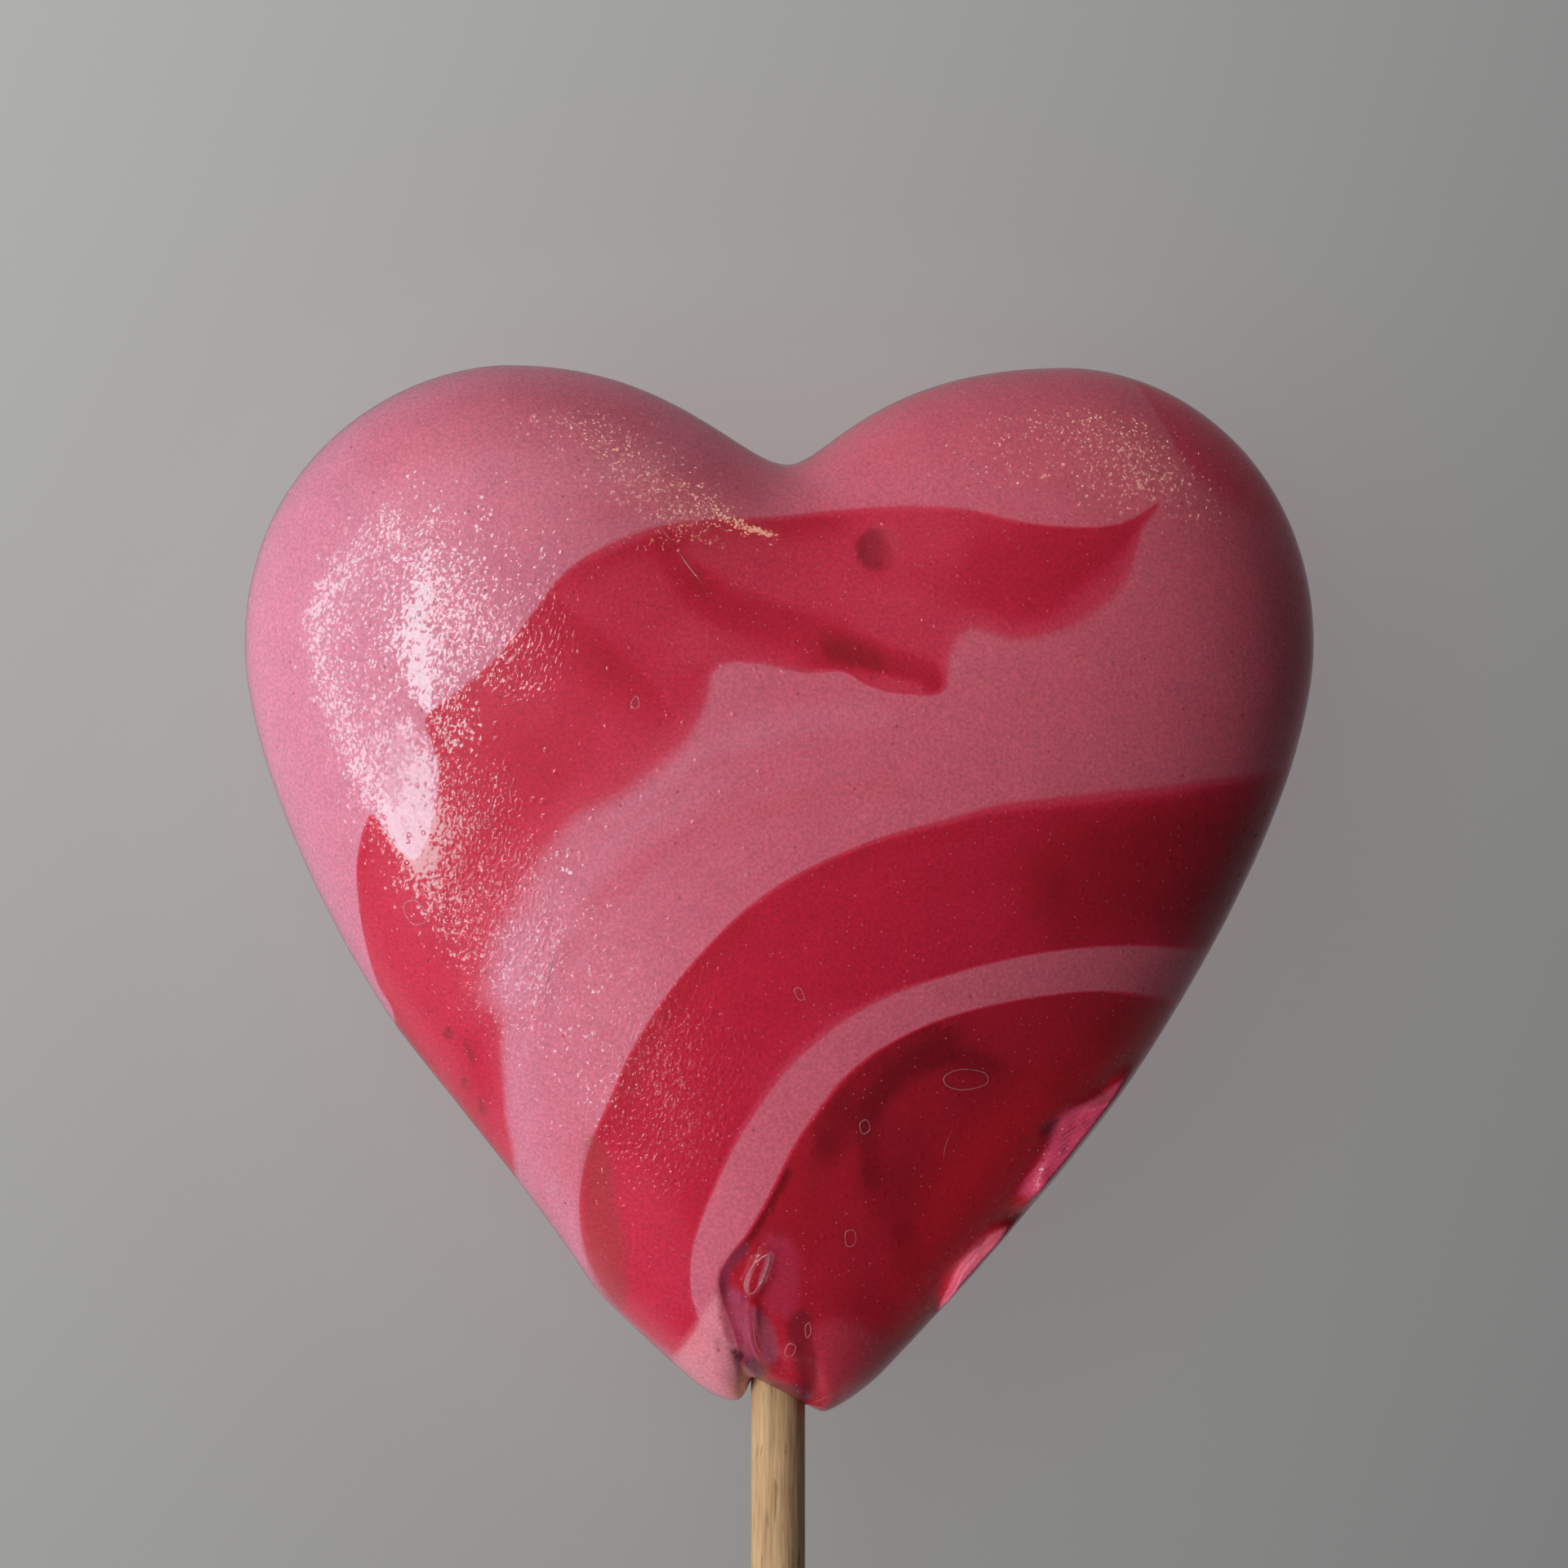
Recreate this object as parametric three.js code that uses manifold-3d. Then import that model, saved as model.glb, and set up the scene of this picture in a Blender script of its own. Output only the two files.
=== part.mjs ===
// A heart lollipop: a puffed heart of boiled sugar, cast round one end of a round wooden stick.
//
// It lies on its back. +Z points up, out of the shown face. +Y runs from the stick towards the lobes.
// X and Y are measured from the middle of the heart, and Z from what the lollipop lies on.
// Everything is in millimetres.

import * as THREE from "three";
import { mergeVertices } from "three/addons/utils/BufferGeometryUtils.js";
import Module from "manifold-3d";

// ---- driving dimensions: the heart ----

const FACE_RISE = 14.5;      // from the seam between the two mould halves to the top of each face
const FACE_POWER = 0.5;      // 0.5 swells like half an ellipse, and less makes the face flatter
const REST_CUT = 0.8;        // taken off the back face, which leaves the flat spot that it lies on

// The rim, counter-clockwise as seen from above. At each turning point: its place, the heading of the
// rim there in degrees, and how far the curve holds that heading before and after the point.
const RIM = [
  { name: "cleft", at: [0.7, 25.0], heading: 180, before: 2.8, after: 3.3 },
  { name: "top of the left lobe", at: [-19.6, 32.3], heading: 180, before: 12, after: 8.6 },
  { name: "left side", at: [-39.2, 11.8], heading: 270, before: 13.3, after: 9 },
  { name: "upper left flank", at: [-27, -17.7], heading: -51.5, before: 7.5, after: 7.2 },
  { name: "lower left flank", at: [-13.8, -35.1], heading: -57.5, before: 5.8, after: 1.4 },
  { name: "shoulder of the left nub", at: [-7, -41.7], heading: -42, before: 1.8, after: 1.5 },
  { name: "end of the left nub", at: [-3.2, -43.8], heading: 0, before: 1.3, after: 1 },
  { name: "notch beside the stick", at: [-1.8, -42.1], heading: 0, before: 0.25, after: 0.25 },
  { name: "end of the right nub", at: [3.3, -44.6], heading: 0, before: 0.7, after: 0.85 },
  { name: "shoulder of the right nub", at: [7.6, -41.8], heading: 45, before: 1.6, after: 5 },
  { name: "right flank", at: [26.6, -19.3], heading: 56.5, before: 8, after: 8 },
  { name: "right side", at: [39.4, 11.9], heading: 90, before: 10.3, after: 12.2 },
  { name: "top of the right lobe", at: [21, 32.1], heading: 180, before: 9.3, after: 14 },
];

// ---- driving dimensions: the stick ----

const STICK_DIAMETER = 4;
const STICK_LENGTH = 150;
const STICK_TOP = -4;        // Y of the end inside the heart
const STICK_CHAMFER = 0.3;
const STICK_SIDES = 32;
const CAST_GAP = 0.3;        // all round the stick, so that the two solids never overlap

// ---- fineness of the heart's mesh ----

const RINGS = 22;            // from the middle of a face out to the rim
const RIM_DETAIL = 160;      // short straight pieces in each stretch of the rim, for measuring depth
const TURNING_SHARE = 0.3;   // of the rim's stations, the share that goes where the rim turns
const TINY = 1e-9;           // keeps a division safe where a point is in line with a piece of the rim

// ---- the rim ----

// One smooth Bezier stretch for each pair of neighbouring turning points.
function rimCurves() {
  return RIM.map((start, i) => {
    const end = RIM[(i + 1) % RIM.length];
    const from = new THREE.Vector2(...start.at);
    const to = new THREE.Vector2(...end.at);
    const leave = THREE.MathUtils.degToRad(start.heading);
    const arrive = THREE.MathUtils.degToRad(end.heading);
    const leaving = new THREE.Vector2(Math.cos(leave), Math.sin(leave)).multiplyScalar(start.after);
    const arriving = new THREE.Vector2(Math.cos(arrive), Math.sin(arrive)).multiplyScalar(end.before);
    return new THREE.CubicBezierCurve(from, from.clone().add(leaving), to.clone().sub(arriving), to);
  });
}

// The rim as a closed ring of many short straight pieces.
function rimPolyline() {
  return rimCurves().flatMap((curve) => curve.getPoints(RIM_DETAIL).slice(0, -1));
}

// Spreads the rim's stations: evenly along its length, and closer together where it turns.
// Returns a function from a fraction of the way round, 0 to 1, to a point of the rim.
function rimStations(polyline) {
  const count = polyline.length;
  const pieces = polyline.map((point, i) => polyline[(i + 1) % count].clone().sub(point));
  const lengths = pieces.map((piece) => piece.length());
  const turns = pieces.map((piece, i) => {
    const before = pieces[(i + count - 1) % count];
    return Math.abs(Math.atan2(before.cross(piece), before.dot(piece)));
  });
  const totalLength = lengths.reduce((sum, length) => sum + length, 0);
  const totalTurn = turns.reduce((sum, turn) => sum + turn, 0);
  const travelled = [0];
  for (let i = 0; i < count; i += 1) {
    const alongLength = (1 - TURNING_SHARE) * lengths[i] / totalLength;
    const alongTurn = TURNING_SHARE * turns[i] / totalTurn;
    travelled.push(travelled[i] + alongLength + alongTurn);
  }
  return (fraction) => {
    const wanted = fraction * travelled[count];
    let piece = travelled.findIndex((reach) => reach > wanted) - 1;
    if (piece < 0) {
      piece = count - 1;
    }
    const along = (wanted - travelled[piece]) / (travelled[piece + 1] - travelled[piece]);
    return polyline[piece].clone().addScaledVector(pieces[piece], along);
  };
}

// ---- the swell of the faces ----

// How deep a point lies inside the rim. Every piece of the rim pulls with the inverse square of its
// distance, summed exactly along the piece as the angle that it fills. Beside a straight rim this is
// the plain distance to it. Further in it blends the pulls of all sides, so the two lobes and the
// valley below the cleft run into each other without a crease.
function depthInside(point, polyline) {
  let pull = 0;
  for (let i = 0; i < polyline.length; i += 1) {
    const start = polyline[i];
    const end = polyline[(i + 1) % polyline.length];
    const length = start.distanceTo(end);
    const along = end.clone().sub(start).divideScalar(length);
    const reach = point.clone().sub(start);
    const before = reach.dot(along);
    const aside = Math.abs(reach.cross(along)) + TINY;
    pull += (Math.atan((length - before) / aside) + Math.atan(before / aside)) / aside;
  }
  return Math.PI / pull;
}

// The height of a face above the seam, at a depth given as a fraction of the greatest depth.
function swell(depthFraction) {
  return FACE_RISE * depthFraction ** FACE_POWER;
}

// ---- the heart's mesh ----

// A square grid of points, bent so that its square rings become copies of the rim that shrink towards
// the middle. So the mesh has no pole. Rings crowd towards the rim, where the faces stand steep.
function faceGrid(stationAt) {
  const grid = [];
  for (let row = -RINGS; row <= RINGS; row += 1) {
    for (let column = -RINGS; column <= RINGS; column += 1) {
      const ring = Math.max(Math.abs(row), Math.abs(column));
      const scale = Math.sin((ring / RINGS) * (Math.PI / 2));
      grid.push({ ring, at: stationAt(ringFraction(column, row)).multiplyScalar(scale) });
    }
  }
  return grid;
}

// How far round its square ring a grid point is, from 0 to 1 and counter-clockwise from the ring's
// top middle, where the cleft is.
function ringFraction(column, row) {
  const ring = Math.max(Math.abs(row), Math.abs(column));
  if (ring === 0) {
    return 0;
  }
  let steps = 0;
  if (row === ring) {
    steps = -column;
  } else if (column === -ring) {
    steps = 2 * ring - row;
  } else if (row === -ring) {
    steps = 4 * ring + column;
  } else {
    steps = 6 * ring + row;
  }
  return ((steps / ring + 8) % 8) / 8;
}

// Both faces, sewn together along the rim.
function heartGeometry() {
  const polyline = rimPolyline();
  const grid = faceGrid(rimStations(polyline));
  const depths = grid.map(({ ring, at }) => (ring === RINGS ? 0 : depthInside(at, polyline)));
  const deepest = Math.max(...depths);
  const positions = [];
  const front = [];
  const back = [];
  grid.forEach(({ ring, at }, i) => {
    const height = swell(depths[i] / deepest);
    front.push(positions.length / 3);
    positions.push(at.x, at.y, height);
    if (ring === RINGS) {
      back.push(front[i]);
    } else {
      back.push(positions.length / 3);
      positions.push(at.x, at.y, -height);
    }
  });
  const across = 2 * RINGS + 1;
  const index = [];
  for (let row = 0; row < across - 1; row += 1) {
    for (let column = 0; column < across - 1; column += 1) {
      const a = row * across + column;
      const b = a + 1;
      const c = b + across;
      const d = a + across;
      index.push(front[a], front[b], front[c], front[a], front[c], front[d]);
      index.push(back[a], back[c], back[b], back[a], back[d], back[c]);
    }
  }
  const geometry = new THREE.BufferGeometry();
  geometry.setAttribute("position", new THREE.Float32BufferAttribute(positions, 3));
  geometry.setIndex(index);
  return geometry;
}

// ---- cutting with solids ----

const wasm = await Module();
wasm.setup();

function toSolid(geometry) {
  const bare = geometry.clone();
  bare.deleteAttribute("normal");
  bare.deleteAttribute("uv");
  const merged = mergeVertices(bare);
  const vertProperties = new Float32Array(merged.getAttribute("position").array);
  const triVerts = new Uint32Array(merged.getIndex().array);
  return new wasm.Manifold(new wasm.Mesh({ numProp: 3, vertProperties, triVerts }));
}

function toGeometry(solid) {
  const mesh = solid.getMesh();
  const geometry = new THREE.BufferGeometry();
  geometry.setAttribute("position", new THREE.Float32BufferAttribute(mesh.vertProperties, 3));
  geometry.setIndex(new THREE.Uint32BufferAttribute(mesh.triVerts, 1));
  geometry.computeVertexNormals();
  return geometry;
}

// ---- the two pieces ----

const seamHeight = FACE_RISE - REST_CUT;
const stickRadius = STICK_DIAMETER / 2;

// The heart, with its flat spot and with the blind hole that it keeps from being cast round the stick.
function candyHeart() {
  const width = 100;
  const floor = new THREE.BoxGeometry(width, width, FACE_RISE);
  floor.translate(0, 0, -seamHeight - FACE_RISE / 2);
  const holeTop = STICK_TOP + CAST_GAP;
  const hole = new THREE.CylinderGeometry(
    stickRadius + CAST_GAP, stickRadius + CAST_GAP, width, STICK_SIDES,
  );
  hole.translate(0, holeTop - width / 2, 0);
  const solid = toSolid(heartGeometry()).subtract(toSolid(floor)).subtract(toSolid(hole));
  const sugar = new THREE.MeshStandardMaterial({ color: 0xd0506e, roughness: 0.25, metalness: 0 });
  const mesh = new THREE.Mesh(toGeometry(solid), sugar);
  mesh.name = "candy_heart";
  return mesh;
}

// The stick, a plain dowel with its edges just broken.
function woodenStick() {
  const profile = [
    new THREE.Vector2(0, 0),
    new THREE.Vector2(stickRadius - STICK_CHAMFER, 0),
    new THREE.Vector2(stickRadius, STICK_CHAMFER),
    new THREE.Vector2(stickRadius, STICK_LENGTH - STICK_CHAMFER),
    new THREE.Vector2(stickRadius - STICK_CHAMFER, STICK_LENGTH),
    new THREE.Vector2(0, STICK_LENGTH),
  ];
  const wood = new THREE.MeshStandardMaterial({ color: 0xb99a72, roughness: 0.7, metalness: 0 });
  const mesh = new THREE.Mesh(new THREE.LatheGeometry(profile, STICK_SIDES), wood);
  mesh.name = "stick";
  mesh.position.y = STICK_TOP - STICK_LENGTH;
  return mesh;
}

const lollipop = new THREE.Group();
lollipop.add(candyHeart());
lollipop.add(woodenStick());
lollipop.position.z = seamHeight;

export default lollipop;
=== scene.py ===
# %% [markdown]
# # A heart lollipop, finished in Blender
#
# The measured model comes first. It holds two solids, the candy heart and the wooden stick, in metres,
# with +Z up out of the shown face. Everything below is made around it and in its frame. The boxes of
# the two solids are kept, and the pieces below are sized and placed from them.

# %% Load the measured model
import math

import bpy
import numpy as np
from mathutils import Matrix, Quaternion, Vector
from mathutils.geometry import interpolate_bezier


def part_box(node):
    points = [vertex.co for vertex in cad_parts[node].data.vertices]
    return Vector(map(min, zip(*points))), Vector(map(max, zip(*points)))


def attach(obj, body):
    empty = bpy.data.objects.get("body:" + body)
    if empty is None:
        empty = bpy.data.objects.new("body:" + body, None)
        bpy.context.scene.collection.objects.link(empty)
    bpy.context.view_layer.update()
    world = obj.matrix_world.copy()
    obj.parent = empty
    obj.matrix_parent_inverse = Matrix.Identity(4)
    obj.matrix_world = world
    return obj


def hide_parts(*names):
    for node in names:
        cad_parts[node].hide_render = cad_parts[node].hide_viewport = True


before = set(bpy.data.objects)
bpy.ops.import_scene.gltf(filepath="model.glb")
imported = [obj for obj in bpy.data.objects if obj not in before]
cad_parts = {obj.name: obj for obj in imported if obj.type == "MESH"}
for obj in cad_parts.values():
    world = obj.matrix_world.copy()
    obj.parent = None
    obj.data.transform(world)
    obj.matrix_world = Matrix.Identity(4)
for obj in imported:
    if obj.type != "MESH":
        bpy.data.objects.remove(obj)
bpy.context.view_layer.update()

MM = 0.001
heart_low, heart_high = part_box("candy_heart")
stick_low, stick_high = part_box("stick")
TINY = 1e-6             # metres, closer than this counts as touching
SEAM = 0.5 * (stick_low[2] + stick_high[2])
FACE_RISE = heart_high[2] - SEAM
print("heart box", heart_low, heart_high)
print("seam height", round(SEAM, 5), "face rise", round(FACE_RISE, 5))

# %% [markdown]
# ## The rim of the heart
#
# A boiled-sugar heart is cast in a two-part mould, so its widest line, the rim, lies flat at the height
# of the seam. An outline like this is drawn in Blender as a Bezier curve: a few turning points, each
# with a heading and two handles. The same turning points are written here as numbers, and each stretch
# is sampled with interpolate_bezier, because the face is worked out from the samples afterwards.

# %% Draw the rim
# Place in millimetres, heading in degrees, handle before, handle after. Counter-clockwise from the cleft.
RIM = [
    (0.7, 25.0, 180, 2.8, 3.3),         # cleft
    (-19.6, 32.3, 180, 12, 8.6),        # top of the left lobe
    (-39.2, 11.8, 270, 13.3, 9),        # left side
    (-27, -17.7, -51.5, 7.5, 7.2),      # upper left flank
    (-13.8, -35.1, -57.5, 5.8, 1.4),    # lower left flank
    (-7, -41.7, -42, 1.8, 1.5),         # shoulder of the left nub
    (-3.2, -43.8, 0, 1.3, 1),           # end of the left nub
    (-1.8, -42.1, 0, 0.25, 0.25),       # notch beside the stick
    (3.3, -44.6, 0, 0.7, 0.85),         # end of the right nub
    (7.6, -41.8, 45, 1.6, 5),           # shoulder of the right nub
    (26.6, -19.3, 56.5, 8, 8),          # right flank
    (39.4, 11.9, 90, 10.3, 12.2),       # right side
    (21, 32.1, 180, 9.3, 14),           # top of the right lobe
]
RIM_DETAIL = 80         # pieces in each stretch


def handle(x, y, heading, reach):
    """The end of a handle that leaves (x, y) along a heading."""
    turn = math.radians(heading)
    return Vector((x + reach * math.cos(turn), y + reach * math.sin(turn), 0))


def sample_rim():
    """The rim as a closed ring of short straight pieces, in millimetres."""
    ring = []
    for start, end in zip(RIM, RIM[1:] + RIM[:1]):
        x0, y0, heading0, _, after = start
        x1, y1, heading1, before, _ = end
        stretch = interpolate_bezier(
            Vector((x0, y0, 0)), handle(x0, y0, heading0, after),
            handle(x1, y1, heading1, -before), Vector((x1, y1, 0)), RIM_DETAIL + 1)
        ring += [point.to_2d() for point in stretch[:-1]]
    return np.array(ring)


rim = sample_rim()
print("rim pieces", len(rim), "from", rim.min(axis=0).round(2), "to", rim.max(axis=0).round(2))

# %% [markdown]
# ## The swell of the faces
#
# Both faces swell up from the rim like a cushion. A point's depth inside the rim is blended from the
# pull of the whole rim on it, so the two lobes and the valley below the cleft run into each other
# without a crease. The height then goes with the square root of the depth, which makes every
# cross-section an arch like half an ellipse.

# %% Work out the swell
BATCH = 2000            # points worked on at a time, to save memory


def depth_inside(points):
    """How deep each point lies inside the rim. Beside a straight rim it is the plain distance."""
    starts = rim
    steps = np.roll(rim, -1, axis=0) - rim
    lengths = np.linalg.norm(steps, axis=1)
    along = steps / lengths[:, None]
    depths = np.empty(len(points))
    for first in range(0, len(points), BATCH):
        reach = points[first:first + BATCH, None, :] - starts[None]
        before = (reach * along).sum(axis=2)
        aside = np.abs(reach[:, :, 0] * along[:, 1] - reach[:, :, 1] * along[:, 0]) + 1e-9
        angle = np.arctan((lengths - before) / aside) + np.arctan(before / aside)
        depths[first:first + BATCH] = math.pi / (angle / aside).sum(axis=1)
    return depths


print("depth at the heart's middle", depth_inside(np.zeros((1, 2))).round(2), "mm")

# %% [markdown]
# ## A sheet without a pole
#
# A disc made of rings has a pole in its middle, which shows in a glossy face. So the sheet starts as a
# square grid, a primitive. Its square rings are moved onto copies of the rim that shrink towards the
# middle. The rings are spaced evenly along the swell, so that they crowd where the face stands steep.

# %% Places round the rim
TURNING_SHARE = 0.3     # of the rim's stations, the share that goes where the rim turns


def rim_stations():
    """How far round the rim each sample is, counted partly by length and partly by turning."""
    steps = np.roll(rim, -1, axis=0) - rim
    lengths = np.linalg.norm(steps, axis=1)
    heading = np.arctan2(steps[:, 1], steps[:, 0])
    turn = np.abs((heading - np.roll(heading, 1) + math.pi) % (2 * math.pi) - math.pi)
    share = (1 - TURNING_SHARE) * lengths / lengths.sum() + TURNING_SHARE * turn / turn.sum()
    return np.concatenate([[0], np.cumsum(share)])


def rim_at(fraction):
    """The place on the rim at each fraction of the way round."""
    stations = rim_stations()
    closed = np.vstack([rim, rim[:1]])
    return np.stack([np.interp(fraction, stations, closed[:, axis]) for axis in (0, 1)], axis=1)


# %% Places along the rings
RINGS = 108


def even_rings(ring):
    """How far out each ring goes, 0 to 1, for even steps along a half-ellipse."""
    quarter = np.linspace(0, math.pi / 2, 400)
    out, up = np.sin(quarter), np.cos(quarter) * FACE_RISE / (0.5 * (heart_high[0] - heart_low[0]))
    travelled = np.concatenate([[0], np.cumsum(np.hypot(np.diff(out), np.diff(up)))])
    return np.interp(ring / RINGS, travelled / travelled[-1], out)


def ring_fraction(column, row, ring):
    """How far round its square ring a grid point is, counter-clockwise from the top middle."""
    top, left, bottom = row == ring, column == -ring, row == -ring
    steps = np.select([top, left, bottom], [-column, 2 * ring - row, 4 * ring + column], 6 * ring + row)
    return (steps / np.maximum(ring, 1) % 8) / 8


# %% Shape the heart from a grid
def read_points(mesh, what="co"):
    """A mesh's points, or their normals, as an array."""
    flat = np.empty(3 * len(mesh.vertices))
    mesh.vertices.foreach_get(what, flat)
    return flat.reshape(-1, 3)


def write_points(mesh, points):
    """Put an array of points back into a mesh."""
    mesh.vertices.foreach_set("co", points.astype(np.float32).ravel())
    mesh.update()


bpy.ops.mesh.primitive_grid_add(x_subdivisions=2 * RINGS, y_subdivisions=2 * RINGS, size=2)
heart = bpy.context.object
heart.name = "candy_heart_surface"
square = read_points(heart.data)
column, row = (np.rint(square[:, axis] * RINGS).astype(int) for axis in (0, 1))
ring = np.maximum(np.abs(column), np.abs(row))
flat = rim_at(ring_fraction(column, row, ring)) * even_rings(ring)[:, None]
inner = ring < RINGS
depth = np.zeros(len(flat))
depth[inner] = depth_inside(flat[inner])
height = FACE_RISE * np.sqrt(depth / depth.max())
write_points(heart.data, np.column_stack([flat * MM, height]))
print("face points", len(flat), "deepest", round(depth.max(), 2), "mm")

# %% [markdown]
# ## The back face and the flat spot
#
# The back is the same swell the other way up. A Mirror modifier makes it and sews the two sheets
# together along the rim. Then the heart is lifted to its seam height, and whatever would go below the
# surface it lies on is pressed flat, as the measured heart is.

# %% Mirror the face and press the rest spot flat
mirror = heart.modifiers.new("back face", "MIRROR")
mirror.use_axis = (False, False, True)
mirror.merge_threshold = TINY
bpy.ops.object.modifier_apply(modifier=mirror.name)
heart.location.z = SEAM
bpy.ops.object.transform_apply()
solid = read_points(heart.data)
solid[:, 2] = np.maximum(solid[:, 2], heart_low[2])
write_points(heart.data, solid)
bpy.ops.object.shade_smooth()
print("heart points", len(heart.data.vertices), "faces", len(heart.data.polygons))
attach(heart, "root")
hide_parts("candy_heart")

# %% [markdown]
# ## Marbling
#
# The heart is cast from two sugars: one milky pink, pulled until it is full of fine air, and one clear
# and deep red. They are folded together once or twice, so a few broad red bands sweep across the pink.
# Each band is outlined by a smooth closed line through a few chosen places. At every point of the heart
# the signed distance to that line is stored as an attribute, divided by how softly the band ends there.
# The shader turns it into a clean edge, which a painted colour on the points could not be.

# %% Outlines of the red bands
# Each place is x and y in millimetres and the width over which the colour fades there.
UPPER_RED = [
    (-25.2, 6.2, 0.3), (-22.8, 8.2, 0.4), (-20.4, 10.2, 0.4), (-18.6, 12.3, 0.4), (-17, 14.4, 0.4),
    (-15.6, 16.2, 0.6), (-13.6, 17.7, 1), (-11, 18.9, 1.4), (-8, 19.9, 1.2), (-4, 20.5, 0.8),
    (0, 20.7, 0.8), (5, 21.2, 0.8), (10, 21.4, 0.9), (14, 21.1, 0.6), (17, 20.4, 0.4), (20, 20, 0.3),
    (23.5, 20, 0.3), (25.6, 20.6, 0.3), (27.6, 21.8, 0.3), (26.2, 20, 0.8), (25.2, 18.2, 2.4),
    (24, 16.4, 4.5), (22.2, 14.6, 4.5), (20, 13, 2.6), (17, 12.4, 2.4), (14.2, 13.2, 3),
    (12.6, 12.2, 2.5), (11.9, 10.2, 1.6), (11.6, 8.1, 0.6), (8.6, 8, 0.3), (6.4, 8.6, 0.3),
    (4.6, 9.6, 0.4), (2, 9.6, 0.8), (-1, 10.2, 0.8), (-3.6, 10.3, 0.8), (-5, 9.4, 1.4), (-5.6, 7.4, 2.4),
    (-7.4, 4.8, 4), (-10.6, 2.4, 5), (-13.6, 0, 5), (-16.2, -3.2, 5), (-18.6, -7.2, 5),
    (-20.2, -11.8, 4.5), (-20.7, -17, 3.6), (-20.3, -22, 2.4), (-20.4, -28, 2), (-30, -22, 0.3),
    (-28, -16, 0.3), (-29.2, -13, 0.3), (-30, -10, 0.3), (-30.4, -7, 0.4), (-30.4, -4, 0.4),
    (-29.4, -0.8, 0.4), (-28, -2.6, 0.6), (-26.2, -4.2, 0.8), (-24.9, -2, 0.6), (-24.3, 1.5, 0.4),
    (-24.7, 4.3, 0.3),
]
MIDDLE_RED = [
    (44, 2.2, 0.6), (33, 1.7, 1.6), (28, 0.9, 2), (24, 0.5, 2), (20, 0.1, 1.8), (16, -0.3, 1.4),
    (12, -1.3, 1), (8, -2.3, 0.8), (4.5, -3.6, 0.6), (1.5, -5, 0.6), (-1, -6.6, 0.6), (-3, -8.2, 0.5),
    (-5, -10.2, 0.4), (-7, -12.5, 0.4), (-8.8, -15, 0.4), (-10.6, -18, 0.4), (-12, -21.2, 0.4),
    (-13.3, -24.2, 0.5), (-14.1, -27.2, 0.6), (-14.2, -30.4, 0.8), (-13.4, -33.4, 1.6),
    (-11.6, -36.2, 2.4), (-9, -38.6, 3), (-6.8, -39.6, 3), (-5.6, -38.4, 1), (-6.3, -35.6, 0.4),
    (-6.3, -32.6, 0.4), (-5.6, -30, 0.4), (-4.4, -27, 0.5), (-3, -24, 0.7), (-1.4, -21.4, 1),
    (0.4, -18.9, 1.2), (2.6, -16.8, 1.2), (5, -15, 1.1), (8, -13.5, 0.7), (11, -12.5, 0.4),
    (15, -11.4, 0.3), (19, -10.6, 0.3), (23, -10.2, 0.3), (27, -10.2, 0.4), (31, -10.6, 0.6),
    (36, -11.4, 0.8), (44, -12, 0.8),
]
CORE_RED = [
    (40, -17.5, 0.6), (31, -15.2, 1.2), (27, -14, 0.6), (23, -13.5, 0.3), (19, -13.8, 0.3),
    (15, -14.5, 0.3), (11.5, -15.5, 0.3), (9, -16.6, 0.3), (6.8, -17.9, 0.4), (4.8, -19.6, 0.5),
    (3.2, -21.6, 0.5), (1.4, -24.2, 0.5), (0.2, -26.6, 0.5), (-0.9, -28.8, 0.5), (-2.2, -31, 0.4),
    (-3.5, -32.7, 0.3), (-4.2, -34.2, 0.2), (-3.9, -36, 0.2), (-3.2, -38, 0.2), (-2.7, -40.2, 0.2),
    (-2.2, -42, 0.2), (-2, -44.5, 0.2), (0, -48, 0.3), (20, -50, 0.3), (44, -30, 0.3),
]
CORNER_RED = [
    (24.9, 33, 0.3), (26.5, 30.2, 0.4), (28, 27.6, 0.5), (29.4, 24.8, 1), (31.2, 22.8, 2.5),
    (33.5, 21.2, 4), (37, 20.5, 5), (44, 21, 4), (44, 34, 1), (32, 40, 0.3),
]
BANDS = {"upper_red": UPPER_RED, "middle_red": MIDDLE_RED, "core_red": CORE_RED, "corner_red": CORNER_RED}
print("places in each outline", [len(outline) for outline in BANDS.values()])

# %% A smooth closed line
def between(before, start, end, beyond, t):
    """Where a smooth line through four places is, t of the way from start to end, by Catmull-Rom."""
    return 0.5 * (2 * start + (end - before) * t
                  + (2 * before - 5 * start + 4 * end - beyond) * t ** 2
                  + (3 * start - before - 3 * end + beyond) * t ** 3)


def smooth_loop(places, detail=10):
    """A smooth closed line through the places. Every column is blended alike."""
    knots = np.array(places, dtype=float)
    before, after, beyond = (np.roll(knots, shift, axis=0) for shift in (1, -1, -2))
    t = np.linspace(0, 1, detail, endpoint=False)[:, None, None]
    line = between(before, knots, after, beyond, t)
    return line.transpose(1, 0, 2).reshape(-1, knots.shape[1])


def near_box(points, line, margin):
    """Which points lie in the line's box, widened by a margin."""
    above_low = points > line[:, :2].min(axis=0) - margin
    below_high = points < line[:, :2].max(axis=0) + margin
    return (above_low & below_high).all(axis=1)


# %% Signed distance to an outline
FAR = 6.0               # where the signed distance is cut off


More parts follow.
